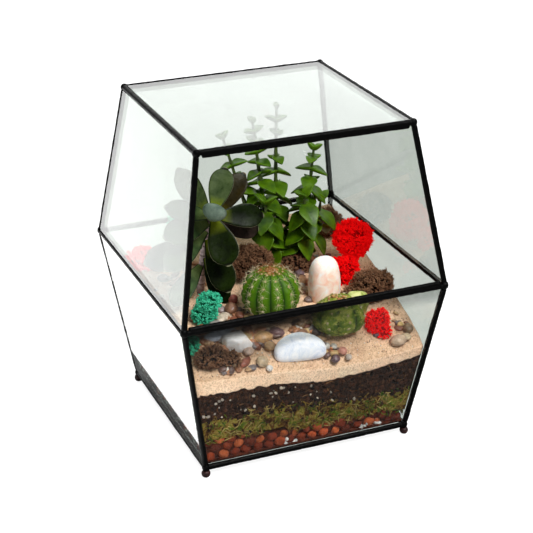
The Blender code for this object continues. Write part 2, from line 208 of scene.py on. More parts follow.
def block(radii, plan, rise, detail=5):
    """A smooth superellipsoid: a power of 2 is round, and higher ones have squarer sides."""
    ways, faces = BALLS[detail]
    across = (np.abs(ways[:, 0]) ** plan + np.abs(ways[:, 1]) ** plan) ** (rise / plan)
    reach = (across + np.abs(ways[:, 2]) ** rise) ** (-1 / rise)
    return ways * reach[:, None] * radii, faces


def tubes(paths, radii, sides=4):
    """Vertices and faces of a batch of tubes. paths is (n, k, 3) and radii (n, k), in millimetres."""
    paths, radii = np.asarray(paths, float), np.asarray(radii, float)
    n, k, _ = paths.shape
    along = unit(np.gradient(paths, axis=1))
    whole = unit(paths[:, -1] - paths[:, 0])
    helper = np.where(np.abs(whole[:, 2:3]) < 0.8, (0.0, 0.0, 1.0), (1.0, 0.0, 0.0))
    side = unit(np.cross(along, helper[:, None, :]))
    up = np.cross(side, along)
    angle = np.arange(sides) * 2 * math.pi / sides
    ring = side[:, :, None] * np.cos(angle)[:, None] + up[:, :, None] * np.sin(angle)[:, None]
    verts = paths[:, :, None] + ring * radii[:, :, None, None]
    index = np.arange(n * k * sides).reshape(n, k, sides)
    a, b = index[:, :-1], index[:, 1:]
    quads = np.stack([a, np.roll(a, -1, 2), np.roll(b, -1, 2), b], axis=-1).reshape(-1, 4)
    caps = np.concatenate([index[:, 0, ::-1], index[:, -1]])
    return verts.reshape(-1, 3), [quads, caps]


def loft(rings):
    """Vertices and faces of one closed body through rings of points, (k, n, 3)."""
    k, n, _ = rings.shape
    index = np.arange(k * n).reshape(k, n)
    a, b = index[:-1], index[1:]
    quads = np.stack([a, np.roll(a, -1, 1), np.roll(b, -1, 1), b], axis=-1).reshape(-1, 4)
    return rings.reshape(-1, 3), [quads, index[0, ::-1][None], index[-1][None]]


def smooth_path(knots, count):
    """Points evenly spread along a Catmull-Rom curve through the knots."""
    knots = np.asarray(knots, float)
    padded = np.vstack([2 * knots[0] - knots[1], knots, 2 * knots[-1] - knots[-2]])
    out = []
    for p0, p1, p2, p3 in zip(padded, padded[1:], padded[2:], padded[3:]):
        t = np.linspace(0, 1, 24, endpoint=False)[:, None]
        square, cube = 2 * p0 - 5 * p1 + 4 * p2 - p3, 3 * p1 - p0 - 3 * p2 + p3
        out.append(0.5 * (2 * p1 + (p2 - p0) * t + square * t**2 + cube * t**3))
    dense = np.vstack(out + [knots[-1:]])
    reach = np.concatenate([[0], np.cumsum(np.linalg.norm(np.diff(dense, axis=0), axis=1))])
    want = np.linspace(0, reach[-1], count)
    return np.column_stack([np.interp(want, reach, dense[:, axis]) for axis in range(3)])


def tangent(path, at):
    """The way a path runs at a fractional index."""
    return unit(path[min(int(at) + 2, len(path) - 1)] - path[max(int(at) - 2, 0)])


# ---------------------------------------------------------------- materials


class Finish:
    """A procedural material on one Principled BSDF, with short ways to add what varies over it."""

    def __init__(self, name, roughness=0.6, **sockets):
        self.material = bpy.data.materials.new(name)
        self.material.use_nodes = True
        self.tree = self.material.node_tree
        self.shader = self.tree.nodes["Principled BSDF"]
        self.shader.inputs["Roughness"].default_value = roughness
        for key, value in sockets.items():
            self.shader.inputs[key.replace("_", " ")].default_value = value
        self.place = self.add("ShaderNodeTexCoord").outputs["Object"]

    def add(self, kind, **settings):
        made = self.tree.nodes.new(kind)
        for key, value in settings.items():
            setattr(made, key, value)
        return made

    def link(self, source, target):
        self.tree.links.new(source, target)

    def feed(self, socket, value):
        if isinstance(value, bpy.types.NodeSocket):
            self.link(value, socket)
        else:
            socket.default_value = value

    def noise(self, size, detail=3.0, rough=0.55, distortion=0.0):
        """Noise with lumps about size millimetres across."""
        made = self.add("ShaderNodeTexNoise")
        self.link(self.place, made.inputs["Vector"])
        made.inputs["Scale"].default_value = 1 / (size * MM)
        made.inputs["Detail"].default_value = detail
        made.inputs["Roughness"].default_value = rough
        made.inputs["Distortion"].default_value = distortion
        return made.outputs["Fac"]

    def cells(self, size, output="Distance"):
        """Cells about size millimetres across: the distance from their middles, or a colour for each."""
        made = self.add("ShaderNodeTexVoronoi")
        self.link(self.place, made.inputs["Vector"])
        made.inputs["Scale"].default_value = 1 / (size * MM)
        return made.outputs[output]

    def ramp(self, source, *stops):
        """Maps a value through (position, sRGB colour) stops."""
        made = self.add("ShaderNodeValToRGB")
        elements = made.color_ramp.elements
        while len(elements) < len(stops):
            elements.new(1.0)
        for element, (position, colour) in zip(elements, stops):
            element.position = position
            element.color = linear(colour)
        self.link(source, made.inputs["Fac"])
        return made.outputs["Color"]

    def levels(self, source, low, high, to_low=0.0, to_high=1.0):
        made = self.add("ShaderNodeMapRange")
        self.link(source, made.inputs["Value"])
        for key, value in (("From Min", low), ("From Max", high), ("To Min", to_low), ("To Max", to_high)):
            made.inputs[key].default_value = value
        return made.outputs["Result"]

    def maths(self, operation, *values):
        made = self.add("ShaderNodeMath", operation=operation)
        for socket, value in zip(made.inputs, values):
            self.feed(socket, value)
        return made.outputs["Value"]

    def blend(self, share, first, second):
        """Mixes two shaders."""
        made = self.add("ShaderNodeMixShader")
        for socket, source in zip(made.inputs, (share, first, second)):
            self.link(source, socket)
        return made.outputs["Shader"]

    def mix(self, factor, a, b, blend="MIX"):
        made = self.add("ShaderNodeMix", data_type="RGBA", blend_type=blend)
        self.feed(made.inputs["Factor"], factor)
        for socket, value in ((made.inputs[6], a), (made.inputs[7], b)):
            self.feed(socket, linear(value) if isinstance(value, tuple) else value)
        return made.outputs[2]

    def shade(self, share, body, source, *stops):
        """Multiplies a colour by a ramp over a pattern, by that share."""
        return self.mix(share, body, self.ramp(source, *stops), "MULTIPLY")

    def attribute(self, name, output):
        return self.add("ShaderNodeAttribute", attribute_name=name).outputs[output]

    def tint(self):
        return self.attribute("tint", "Color")

    def mark(self):
        return self.attribute("mark", "Fac")

    def colour(self, socket):
        self.link(socket, self.shader.inputs["Base Color"])

    def rough(self, source, low, high):
        self.link(self.levels(source, 0.25, 0.75, low, high), self.shader.inputs["Roughness"])

    def bump(self, *layers):
        """Each layer is (height, depth in millimetres)."""
        normal = None
        for height, depth in layers:
            made = self.add("ShaderNodeBump")
            made.inputs["Strength"].default_value = 1.0
            made.inputs["Distance"].default_value = depth * MM
            self.link(height, made.inputs["Height"])
            if normal is not None:
                self.link(normal, made.inputs["Normal"])
            normal = made.outputs["Normal"]
        self.link(normal, self.shader.inputs["Normal"])


def solder_finish():
    f = Finish("solder_patina", 0.45, Specular_IOR_Level=0.05)
    patch = f.noise(5.0, 4.0)
    f.colour(f.ramp(patch, (0.3, 0.006), (0.62, 0.015), (0.8, (0.05, 0.045, 0.04))))
    f.rough(f.noise(1.6), 0.3, 0.6)
    f.bump((f.noise(2.2, 2.0), 0.25), (f.noise(0.6, 2.0), 0.06))
    return f.material


def foot_finish():
    f = Finish("foot_patina", 0.45, Metallic=0.35)
    patch = f.noise(2.5, 3.0)
    f.colour(f.ramp(patch, (0.3, (0.09, 0.03, 0.03)), (0.6, (0.20, 0.07, 0.06)), (0.8, (0.40, 0.20, 0.15))))
    f.rough(f.noise(1.2), 0.3, 0.6)
    f.bump((f.noise(1.5, 2.0), 0.2))
    return f.material


def glass_finish(name, head_on, cast, shaded=None):
    """Thin panes: what is behind shows unbent, and the gloss rises towards a grazing view.

    shaded gives the two heights, in metres, between which the pane darkens under the girdle, most of
    all on its left. It is a painted stand-in for a dark reflection, so it shows from every side.
    """
    f = Finish(name)
    f.tree.nodes.remove(f.shader)
    facing = f.add("ShaderNodeLayerWeight")
    facing.inputs["Blend"].default_value = 0.5
    schlick = f.maths("POWER", facing.outputs["Facing"], 5.0)
    mirrored = f.maths("MULTIPLY_ADD", schlick, 1 - head_on, head_on)
    through = f.add("ShaderNodeBsdfTransparent")
    light = tuple(min(1.0, c + 0.015) for c in cast)
    clear = f.ramp(f.noise(28.0, 3.0, 0.6, 0.6), (0.3, cast), (0.7, light))
    if shaded:
        spot = f.add("ShaderNodeSeparateXYZ")
        f.link(f.place, spot.inputs["Vector"])
        band = f.levels(spot.outputs["Z"], shaded[0], shaded[1], 0.0, 0.85)
        to_right = f.levels(spot.outputs["X"], -0.01, 0.05, 1.0, 0.25)
        clear = f.mix(f.maths("MULTIPLY", band, to_right), clear, (0.12, 0.11, 0.09))
    f.link(clear, through.inputs["Color"])
    gloss = f.add("ShaderNodeBsdfGlossy")
    gloss.inputs["Color"].default_value = (1, 1, 1, 1)
    f.link(f.levels(f.noise(14.0, 4.0), 0.35, 0.75, 0.0, 0.06), gloss.inputs["Roughness"])
    dust = f.add("ShaderNodeBsdfDiffuse")
    dust.inputs["Color"].default_value = (0.6, 0.6, 0.58, 1)
    pane = f.blend(mirrored, through.outputs["BSDF"], gloss.outputs["BSDF"])
    specks = f.levels(f.noise(3.0, 5.0, 0.7), 0.45, 0.85, 0.0, 0.012)
    dusty = f.blend(specks, pane, dust.outputs["BSDF"])
    f.link(dusty, f.tree.nodes["Material Output"].inputs["Surface"])
    return f.material


def sand_finish():
    """mark is 1 where the sand meets the glass, and 0 on its open surface; the sand at the glass is coloured
    lighter as painted light.
    """
    f = Finish("fine_sand", 0.9, Specular_IOR_Level=0.15)
    grain = f.noise(0.55, 2.0, 0.7)
    patch = f.noise(14.0, 4.0, 0.6)
    loose = f.ramp(patch, (0.25, (0.80, 0.65, 0.53)), (0.55, (0.90, 0.76, 0.63)), (0.8, (0.96, 0.84, 0.72)))
    # painted light: the sand against the glass is coloured lighter than its open surface
    lit_at_glass = f.ramp(patch, (0.25, (1.0, 0.83, 0.69)), (0.6, (1.0, 0.88, 0.76)), (0.85, (1.0, 0.93, 0.83)))
    body = f.mix(f.mark(), loose, lit_at_glass)
    grains = f.cells(0.9, output="Color")
    body = f.shade(0.6, body, grains, (0.2, (0.74, 0.68, 0.62)), (0.5, (0.97, 0.97, 0.96)), (0.8, 1.0))
    body = f.shade(0.6, body, grain, (0.30, (0.60, 0.52, 0.45)), (0.46, 1.0))
    body = f.mix(f.levels(f.cells(1.7), 0.10, 0.24, 0.5, 0.0), body, (0.46, 0.36, 0.30))
    f.colour(body)
    f.bump((f.noise(2.5, 3.0), 0.45), (grain, 0.25))
    return f.material


def tinted_finish(name, roughness, grain, depth, variation=0.25, mottle=4.0, **sockets):
    """Takes its colour from the piece's own tint, mottled, with a grain of that size and depth."""
    f = Finish(name, roughness, **sockets)
    patch = f.noise(mottle, 4.0, 0.6)
    dark, light = 1 - variation, min(1.0, 1 + variation)
    body = f.shade(1.0, f.tint(), patch, (0.3, dark), (0.7, light))
    fine = f.noise(grain, 3.0, 0.65)
    body = f.shade(variation, body, fine, (0.35, 0.3), (0.65, 1))
    f.colour(body)
    f.rough(fine, max(0.05, roughness - 0.12), min(1.0, roughness + 0.12))
    f.bump((patch, depth * 2), (fine, depth))
    return f.material


def white_stone_finish():
    f = Finish("polished_white_stone", 0.35)
    veins = f.noise(9.0, 5.0, 0.6, 1.2)
    body = f.ramp(veins, (0.32, (0.78, 0.82, 0.89)), (0.45, (0.90, 0.92, 0.96)), (0.58, (0.98, 0.98, 0.99)))
    grit = f.noise(0.8, 3.0, 0.7)
    f.colour(f.shade(0.2, body, grit, (0.35, (0.80, 0.82, 0.86)), (0.6, 1)))
    f.rough(grit, 0.28, 0.5)
    f.bump((f.noise(2.5, 3.0), 0.12), (grit, 0.05))
    return f.material


def marble_finish():
    f = Finish("white_marble", 0.5)
    veins = f.noise(9.0, 5.0, 0.6, 2.0)
    body = f.ramp(veins, (0.33, (0.94, 0.89, 0.86)), (0.48, (1.0, 0.985, 0.97)), (0.7, 1.0))
    crystal = f.cells(1.3, output="Color")
    f.colour(f.mix(0.10, body, crystal, "SOFT_LIGHT"))
    f.rough(f.noise(1.0), 0.35, 0.6)
    f.bump((f.cells(1.6), 0.12), (f.noise(0.6), 0.06))
    return f.material


def quartz_finish():
    """Milky white at the top, peach towards the foot, with soft clouds and fine flaws."""
    f = Finish("rose_quartz", 0.35, Subsurface_Weight=0.2, Subsurface_Scale=0.003)
    cloud = f.noise(8.0, 5.0, 0.6, 1.0)
    pink = f.ramp(cloud, (0.32, (0.98, 0.78, 0.68)), (0.5, (1.0, 0.90, 0.84)), (0.68, (1.0, 0.98, 0.96)))
    body = f.mix(f.mark(), pink, (1.0, 1.0, 1.0))
    flaws = f.ramp(f.noise(1.8, 5.0, 0.7, 1.5), (0.32, (0.95, 0.84, 0.78)), (0.45, 1))
    f.colour(f.mix(0.3, body, flaws, "MULTIPLY"))
    f.rough(f.noise(3.0), 0.25, 0.45)
    f.bump((f.noise(4.0, 3.0), 0.2), (f.noise(0.9), 0.05))
    return f.material


def moss_finish(name, dark, middle, light, glow=0.0):
    """Dyed lichen: mark runs from 0 at the heart of a clump to 1 at its tips, and the colour darkens towards
    the heart as painted shade.

    glow adds a little light of the dye's own colour, which real lichen doesn't give.
    """
    f = Finish(name, 0.9, Specular_IOR_Level=0.1)
    patch = f.noise(3.5, 3.0)
    body = f.ramp(patch, (0.3, middle), (0.7, light))
    # painted shade: dark towards the heart of each clump, light at its tips
    body = f.mix(f.levels(f.mark(), 0.25, 0.85), dark, body)
    f.colour(body)
    if glow:
        f.link(body, f.shader.inputs["Emission Color"])
        f.shader.inputs["Emission Strength"].default_value = glow
    f.bump((f.noise(0.5, 2.0), 0.12))
    return f.material


def cactus_finish(name, groove, flank, crest, patches=None):
    """mark is 0 in the grooves and 1 on the crests, and the skin darkens into the grooves as painted shade;
    patches is a second colour in broad blotches.
    """
    f = Finish(name, 0.42, Specular_IOR_Level=0.14)
    # painted shade: the colour darkens from the crests down into the grooves
    body = f.ramp(f.mark(), (0.0, groove), (0.35, flank), (0.9, crest))
    patch = f.noise(6.0, 4.0, 0.6)
    body = f.shade(0.5, body, patch, (0.3, (0.66, 0.72, 0.55)), (0.7, 1))
    if patches:
        body = f.mix(f.levels(f.noise(7.0, 4.0, 0.6, 0.8), 0.46, 0.60), body, patches)
        body = f.mix(f.levels(f.cells(3.2), 0.10, 0.2, 0.85, 0.0), body, (0.84, 0.76, 0.48))
    skin = f.cells(0.8)
    body = f.shade(0.35, body, skin, (0.0, 1), (0.5, (0.72, 0.8, 0.6)))
    f.colour(body)
    f.rough(f.noise(2.0), 0.34, 0.55)
    f.bump((f.noise(3.0, 3.0), 0.25), (skin, 0.06))
    return f.material


def crassula_finish():
    """mark is 1 along a leaf's rim and at its tip."""
    f = Finish("crassula_leaf", 0.4, Subsurface_Weight=0.05, Subsurface_Scale=0.002, Specular_IOR_Level=0.22)
    green = f.ramp(f.noise(9.0, 3.0), (0.3, (0.17, 0.30, 0.01)), (0.7, (0.38, 0.52, 0.04)))
    body = f.mix(0.9, green, f.tint(), "MULTIPLY")
    body = f.mix(f.levels(f.mark(), 0.6, 1.0, 0.0, 0.5), body, (0.48, 0.66, 0.18))
    dots = f.cells(0.7)
    f.colour(f.shade(0.3, body, dots, (0.05, (0.75, 0.85, 0.6)), (0.3, 1)))
    f.rough(f.noise(2.5), 0.28, 0.45)
    f.bump((f.noise(2.5, 3.0), 0.15), (dots, 0.03))
    return f.material


def echeveria_finish(name, deep, body_colour, base, edge, rim, sheen=0.08):
    """mark is 0 at a leaf's foot, 0.5 over its blade, and 1 on its thin rim inside a darker edge."""
    f = Finish(name, 0.28, Specular_IOR_Level=sheen)
    patch = f.noise(10.0, 4.0, 0.55, 0.6)
    blade = f.ramp(patch, (0.3, deep), (0.7, body_colour))
    body = f.mix(f.levels(f.mark(), 0.05, 0.36), base, blade)
    body = f.mix(f.levels(f.mark(), 0.55, 0.78), body, edge)
    body = f.mix(f.levels(f.mark(), 0.84, 0.97), body, rim)
    bloom = f.ramp(f.noise(1.5, 4.0, 0.7), (0.35, (0.78, 0.82, 0.78)), (0.6, 1))
    f.colour(f.mix(0.5, body, bloom, "MULTIPLY"))
    f.rough(f.noise(3.0, 3.0), 0.2, 0.42)
    f.bump((f.noise(5.0, 3.0), 0.2), (f.noise(0.7), 0.025))
    return f.material


def stem_finish():
    f = Finish("echeveria_stem_skin", 0.55, Specular_IOR_Level=0.3)
    skin = f.noise(3.5, 4.0, 0.6, 0.5)
    body = f.ramp(skin, (0.3, (0.58, 0.47, 0.47)), (0.55, (0.84, 0.72, 0.74)), (0.75, (0.92, 0.84, 0.85)))
    f.colour(f.mix(f.mark(), body, (0.34, 0.22, 0.20)))
    f.bump((f.noise(1.6, 3.0), 0.25), (f.noise(0.5), 0.06))
    return f.material


def floor_finish():
    """A pale sweep, brightened for the camera alone so that it meets the white backdrop."""
    f = Finish("studio_floor", 0.9, Specular_IOR_Level=0.0)
    f.colour(f.ramp(f.noise(900.0, 2.0), (0.3, 0.57), (0.7, 0.60)))
    f.shader.inputs["Emission Color"].default_value = (1, 1, 1, 1)
    seen = f.add("ShaderNodeLightPath").outputs["Is Camera Ray"]
    f.link(f.maths("MULTIPLY", seen, 0.92), f.shader.inputs["Emission Strength"])
    return f.material


# ---------------------------------------------------------------- the case


def case():
    """The CAD panes take their glass, and the CAD rods and feet get the lumps that a hand-run bead has.

    The back and right panes are a darker glass, to match how grey they look in this one lighting.
    """
    solder, foot = solder_finish(), foot_finish()
    front = glass_finish("pane_glass_front_lower", 0.008, (0.985, 0.99, 0.985), (0.1135, 0.1225))
    grey = glass_finish("pane_glass", 0.04, (0.895, 0.91, 0.90))
    shaded = glass_finish("pane_glass_shaded", 0.04, (0.83, 0.845, 0.83))
    for name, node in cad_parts.items():
        if name.endswith("_pane"):
            side = shaded if "right" in name or "back" in name else grey
            node.data.materials.clear()
            node.data.materials.append(front if "front" in name else side)
    bars = ("base_rim", "girdle", "top_rim")
    seams = [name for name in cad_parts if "_seam_" in name]
    feet = [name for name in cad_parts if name.startswith("foot_")]
    beads = (
        (bars, solder, "seam", 0.6, 0.22, 0.55),
        (seams, solder, "seam", 0.55, 0.22, 0.55),
        (feet, foot, "foot", 0.4, 0.3, 0.16),
    )
    for names, *bead in beads:
        for name in names:
            beaded(name, *bead)
    blobs = Shape()
    for bar in bars:
        low, high = node_box(bar)
        reach, z = high[0] - 2.6, (low[2] + high[2]) / 2
        for x, y in ((-reach, -reach), (reach, -reach), (reach, reach), (-reach, reach)):
            blobs.add(*stone((x, y, z), (3.0, 3.0, 2.9), int(z), (0, 0, x + y), 4, 0.08))
    piece("corner_solder", blobs, solder)


def beaded(name, material, slot, voxel, lump, swell):
    """A finer, slightly fuller copy of a CAD node with a hand-soldered surface."""
    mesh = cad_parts[name].data.copy()
    ob = bpy.data.objects.new(f"{name}_bead", mesh)
    bpy.context.scene.collection.objects.link(ob)
    remesh = ob.modifiers.new("even", "REMESH")
    remesh.mode, remesh.voxel_size = "VOXEL", voxel * MM
    relax = ob.modifiers.new("relax", "SMOOTH")
    relax.factor, relax.iterations = 0.5, 2
    graph = bpy.context.evaluated_depsgraph_get()
    even = bpy.data.meshes.new_from_object(ob.evaluated_get(graph))
    ob.modifiers.clear()
    ob.data = even
    count = len(even.vertices)
    spots, normals = np.zeros(count * 3, np.float32), np.zeros(count * 3, np.float32)
    even.vertices.foreach_get("co", spots)
    even.vertices.foreach_get("normal", normals)
    spots, normals = spots.reshape(-1, 3) / MM, normals.reshape(-1, 3)
    rise = lump * (0.6 * wobble(spots, 5.5, 3) + 0.4 * wobble(spots, 2.2, 4)) + swell
    spots += normals * rise[:, None]
    spots[:, 2] = np.maximum(spots[:, 2], 0.0)
    even.vertices.foreach_set("co", (spots * MM).astype(np.float32).ravel())
    even.polygons.foreach_set("use_smooth", np.ones(len(even.polygons), bool))
    even.update()
    settle(ob, material, (name,))


# ---------------------------------------------------------------- the bed

# The lower panes run straight from the base to the girdle, and the upper ones lean in again above it.
BASE_HALF, GIRDLE_HALF = 80.5, 100.0
BASE_Z, GIRDLE_Z = 7.5, 128.5
PANE_CLEAR = 1.9
WIDEST_INNER_HALF = 97.8
# Just above the base pane, and how far out in u or v counts as being at a pane.
FLOOR_TOP = 9.4
EDGE = 0.999


def inner_half(z):
    """Half the clear width between the lower panes at a height."""
    share = (np.asarray(z, float) - BASE_Z) / (GIRDLE_Z - BASE_Z)
    return BASE_HALF + (GIRDLE_HALF - BASE_HALF) * share - PANE_CLEAR


def level(z):
    """A flat surface over the bed, whose places u and v run from -1 to 1."""
    return lambda u, v: z + 0 * u


def offset(surface, rise):
    return lambda u, v: surface(u, v) + rise


def confine(verts, half):
    """Moves points that are outside a square of that half width to its sides, and returns them."""
    verts[..., 0] = np.clip(verts[..., 0], -half, half)
    verts[..., 1] = np.clip(verts[..., 1], -half, half)
    return verts


def inset(verts, gap):
    """Moves points that are outside the lower panes to a gap inside them, and returns them."""
    return confine(verts, inner_half(verts[..., 2]) - gap)


def clay_z(u, v):
    return 25.0 - 5.0 * u + 1.2 * np.sin(5 * u + 2 * v)


def moss_z(u, v):
    return 44.5 - 5.5 * u + 2.0 * v + 1.2 * np.sin(4 * u - 3 * v)


def sand_z(u, v):
    back = np.clip((v + 1) / 2, 0, 1) ** 0.8
    right = (u + 1) / 2
    front_edge = 92.0 + (78.5 - 92.0) * right
    back_edge = 104.0 + (121.5 - 104.0) * right
    crown = 5.0 * (1 - u * u) * (1 - v * v)
    dip = 3.5 * np.exp(-(((u - 0.2) / 0.35) ** 2)) * np.maximum(0.0, -v) ** 2
    shallow = np.maximum(0.0, (u - 0.3) / 0.65) ** 2
    slump = 8.5 * (1 - 0.65 * shallow) * np.maximum(0.0, -2 * v - 1) ** 3
    return front_edge + (back_edge - front_edge) * back + crown - dip - slump


def soil_z(u, v):
    """The ragged surface between soil and sand."""
    spots = np.stack(np.broadcast_arrays(90.0 * u, 90.0 * v, 0.0 * u), -1)
    ragged = 1.1 * wobble(spots, 6.0, 61) + 0.8 * wobble(spots, 2.4, 62)
    return sand_z(u, v) - 9.6 + 2.4 * u + ragged


def ground_z(x, y):
    """The sand's height at a place."""
    half = inner_half(95.0)
    return sand_z(np.clip(x / half, -1, 1), np.clip(y / half, -1, 1))


def slab(low, high, step, levels, inward=0.0, top_rough=0.0, rough_size=4.0, seed=0, shrink=0.0):
    """A layer from wall to wall as one closed grid, its skin pushed in by up to inward."""
    count = int(2 * inner_half(60.0) / step)
    line = np.linspace(-1, 1, count + 1)
    around_u = np.concatenate([line, np.full(count, 1.0), line[::-1][1:], np.full(count - 1, -1.0)])
    around_v = np.concatenate([np.full(count + 1, -1.0), line[1:], np.full(count, 1.0), line[::-1][1:-1]])
    shape = Shape()
    gu, gv = np.meshgrid(line, line, indexing="ij")
    n = count + 1
    grid = np.arange(n * n).reshape(n, n)
    ring_of_grid = np.concatenate([grid[:, 0], grid[-1, 1:], grid[::-1, -1][1:], grid[0, ::-1][1:-1]])
    rings = []
    for share in np.linspace(0, 1, levels + 1)[1:-1]:
        z = low(around_u, around_v) * (1 - share) + high(around_u, around_v) * share
        rings.append(np.column_stack([around_u, around_v, z]))
    top = np.column_stack([gu.ravel(), gv.ravel(), high(gu, gv).ravel()])
    bottom = np.column_stack([gu.ravel(), gv.ravel(), low(gu, gv).ravel()])
    flat = np.concatenate([top, bottom] + rings)
    half = inner_half(flat[:, 2]) - shrink
    verts = np.column_stack([flat[:, 0] * half, flat[:, 1] * half, flat[:, 2]])
    wall = (np.abs(flat[:, :2]).max(1) > EDGE).astype(float)
    if inward:
        push = inward * (0.5 + 0.5 * wobble(verts, rough_size, seed))
        for axis in (0, 1):
            at_wall = np.abs(flat[:, axis]) > EDGE
            near_seam = np.clip((1 - np.abs(flat[:, 1 - axis])) / 0.06, 0, 1)
            verts[at_wall, axis] -= (np.sign(flat[:, axis]) * push * near_seam)[at_wall]
    if top_rough:
        coarse, fine = wobble(verts, rough_size, seed + 1), wobble(verts, rough_size / 3, seed + 2)
        lift = top_rough * (0.65 * coarse + 0.35 * fine)
        verts[: n * n, 2] += lift[: n * n] * (1 - 0.7 * wall[: n * n])
    size = n * n
    loop = len(around_u)
    rows = [2 * size + k * loop + np.arange(loop) for k in range(len(rings))]
    rows = [ring_of_grid + size] + rows + [ring_of_grid]
    a, b, c, d = grid[:-1, :-1], grid[1:, :-1], grid[1:, 1:], grid[:-1, 1:]
    quads = [np.stack([a, b, c, d], -1).reshape(-1, 4), np.stack([a, d, c, b], -1).reshape(-1, 4) + size]
    for a, b in zip(rows, rows[1:]):
        quads.append(np.stack([a, np.roll(a, -1), np.roll(b, -1), b], -1))
    shape.add(verts, [np.concatenate(quads)], mark=wall)
    return shape


def wall_spots(rng, count, low, high, depth):
    """Chance places just inside the four lower panes, between two surfaces, with their outward side."""
    side = rng.integers(0, 4, count)
    along = rng.uniform(-0.985, 0.985, count)
    u = np.select([side == 0, side == 1, side == 2], [along, np.ones(count), along], -1.0)
    v = np.select([side == 0, side == 1, side == 2], [-np.ones(count), along, np.ones(count)], along)
    z = low(u, v) + rng.uniform(0, 1, count) * (high(u, v) - low(u, v))
    half = inner_half(z) - depth
    normal = np.stack([np.where(np.abs(u) == 1, u, 0), np.where(np.abs(v) == 1, v, 0), np.zeros(count)], -1)
    return np.stack([u * half, v * half, z], -1), normal


def clay():
    """Fired clay balls two or three deep, with pale gravel among them at the glass."""
    rng = np.random.default_rng(11)
    shape = Shape()
    palette = np.array(
        [(0.62, 0.26, 0.14), (0.74, 0.34, 0.19), (0.52, 0.21, 0.12), (0.82, 0.42, 0.24), (0.44, 0.19, 0.12)]
    )
    row = 0
    z = FLOOR_TOP + 4.0
    while z < 30:
        half = float(inner_half(z))
        pitch = 9.0
        for i in range(int(2 * half / pitch) + 1):
            for j in range(int(2 * half / (pitch * 0.87)) + 1):
                x = -half + 4.5 + i * pitch + (pitch / 2 if (j + row) % 2 else 0) + rng.uniform(-1, 1)
                y = -half + 4.5 + j * pitch * 0.87 + rng.uniform(-1, 1)
                radius = rng.uniform(3.7, 5.3)
                x, y = np.clip((x, y), -(half - radius + 0.3), half - radius + 0.3)
                edge = half - max(abs(x), abs(y))
                top = clay_z(x / half, y / half)
                if (edge > 15 and row) or z + radius * 0.6 > top + 1.5:
                    continue
                radii = radius * rng.uniform(0.88, 1.05, 3)
                spot = (x, y, max(z + rng.uniform(-0.8, 0.8), 9.2 + radii[2]))
                verts, faces = stone(spot, radii, *chance(rng), 3 if edge < 8 else 2, 0.16)
                shade = palette[rng.integers(len(palette))] * rng.uniform(0.85, 1.12)
                shape.add(inset(verts, 0.2), faces, paint(np.clip(shade, 0, 1)))
        z += 7.0
        row += 1
    finish = tinted_finish("fired_clay", 0.85, 0.6, 0.12, 0.3, 3.0, Specular_IOR_Level=0.15)
    piece("clay_balls", shape, finish, ("clay_drainage",))
    # clay_core is a block inside the balls whose dark colour is painted shade in the gaps between them; the
    # same material colours the fines on the floor
    core = slab(level(9.6), offset(clay_z, -0.5), 4.0, 4, shrink=2.6)
    f = Finish("clay_dust_and_shade", 0.95, Specular_IOR_Level=0.1)
    f.colour(f.ramp(f.noise(3.0), (0.3, (0.14, 0.055, 0.03)), (0.7, (0.36, 0.16, 0.09))))
    f.bump((f.noise(1.5), 0.4))
    piece("clay_core", core, f.material)
    fines = slab(level(9.15), level(11.4), 2.0, 2, 0.2, 0.5, 4.0, 15, shrink=0.1)
    piece("clay_fines", fines, f.material)
    gravel = Shape()
    spots, _ = wall_spots(rng, 260, level(10.5), level(15.0), 2.2)
    for spot in spots:
        at_front = spot[1] < -60
        if at_front and not (-24 < spot[0] < -4 or 38 < spot[0] < 62):
            continue
        if not at_front and rng.uniform() < 0.6:
            continue
        radii = rng.uniform(1.3, 2.6, 3)
        grey = rng.uniform(0.80, 1.0)
        verts, faces = stone(spot, radii, *chance(rng), 2, 0.2, 0.3)
        inset(verts, 0.15)
        verts[:, 2] = np.maximum(verts[:, 2], FLOOR_TOP)
        gravel.add(verts, faces, paint((grey, grey, grey * 0.98)))
    piece("drainage_gravel", gravel, tinted_finish("pale_gravel", 0.6, 0.5, 0.06, 0.2))


def fibres(rng, spots, normals, reach, radius, bend=0.5, steps=6):
    """Curved strands lying along the glass."""
    count = len(spots)
    angle = rng.uniform(0, 2 * math.pi, count)
    sideways = np.cross(normals, (0, 0, 1.0))
    across = sideways * np.cos(angle)[:, None] + np.array([0, 0, 1.0]) * np.sin(angle)[:, None]
    turned_way = np.cross(normals, across)
    length = reach * rng.uniform(0.5, 1.3, count)
    t = np.linspace(-0.5, 0.5, steps)
    curl = rng.normal(0, bend, count)
    paths = (
        spots[:, None]
        + across[:, None] * (t[None, :, None] * length[:, None, None])
        + turned_way[:, None] * ((t**2)[None, :, None] * (curl * length)[:, None, None])
        - normals[:, None] * ((rng.uniform(0, 0.5, (count, steps)))[:, :, None])
    )
    radii = radius * rng.uniform(0.7, 1.3, (count, 1)) * (1 - 0.8 * np.abs(t) * 1.4)[None]
    inset(paths, 0.3)
    return paths, radii


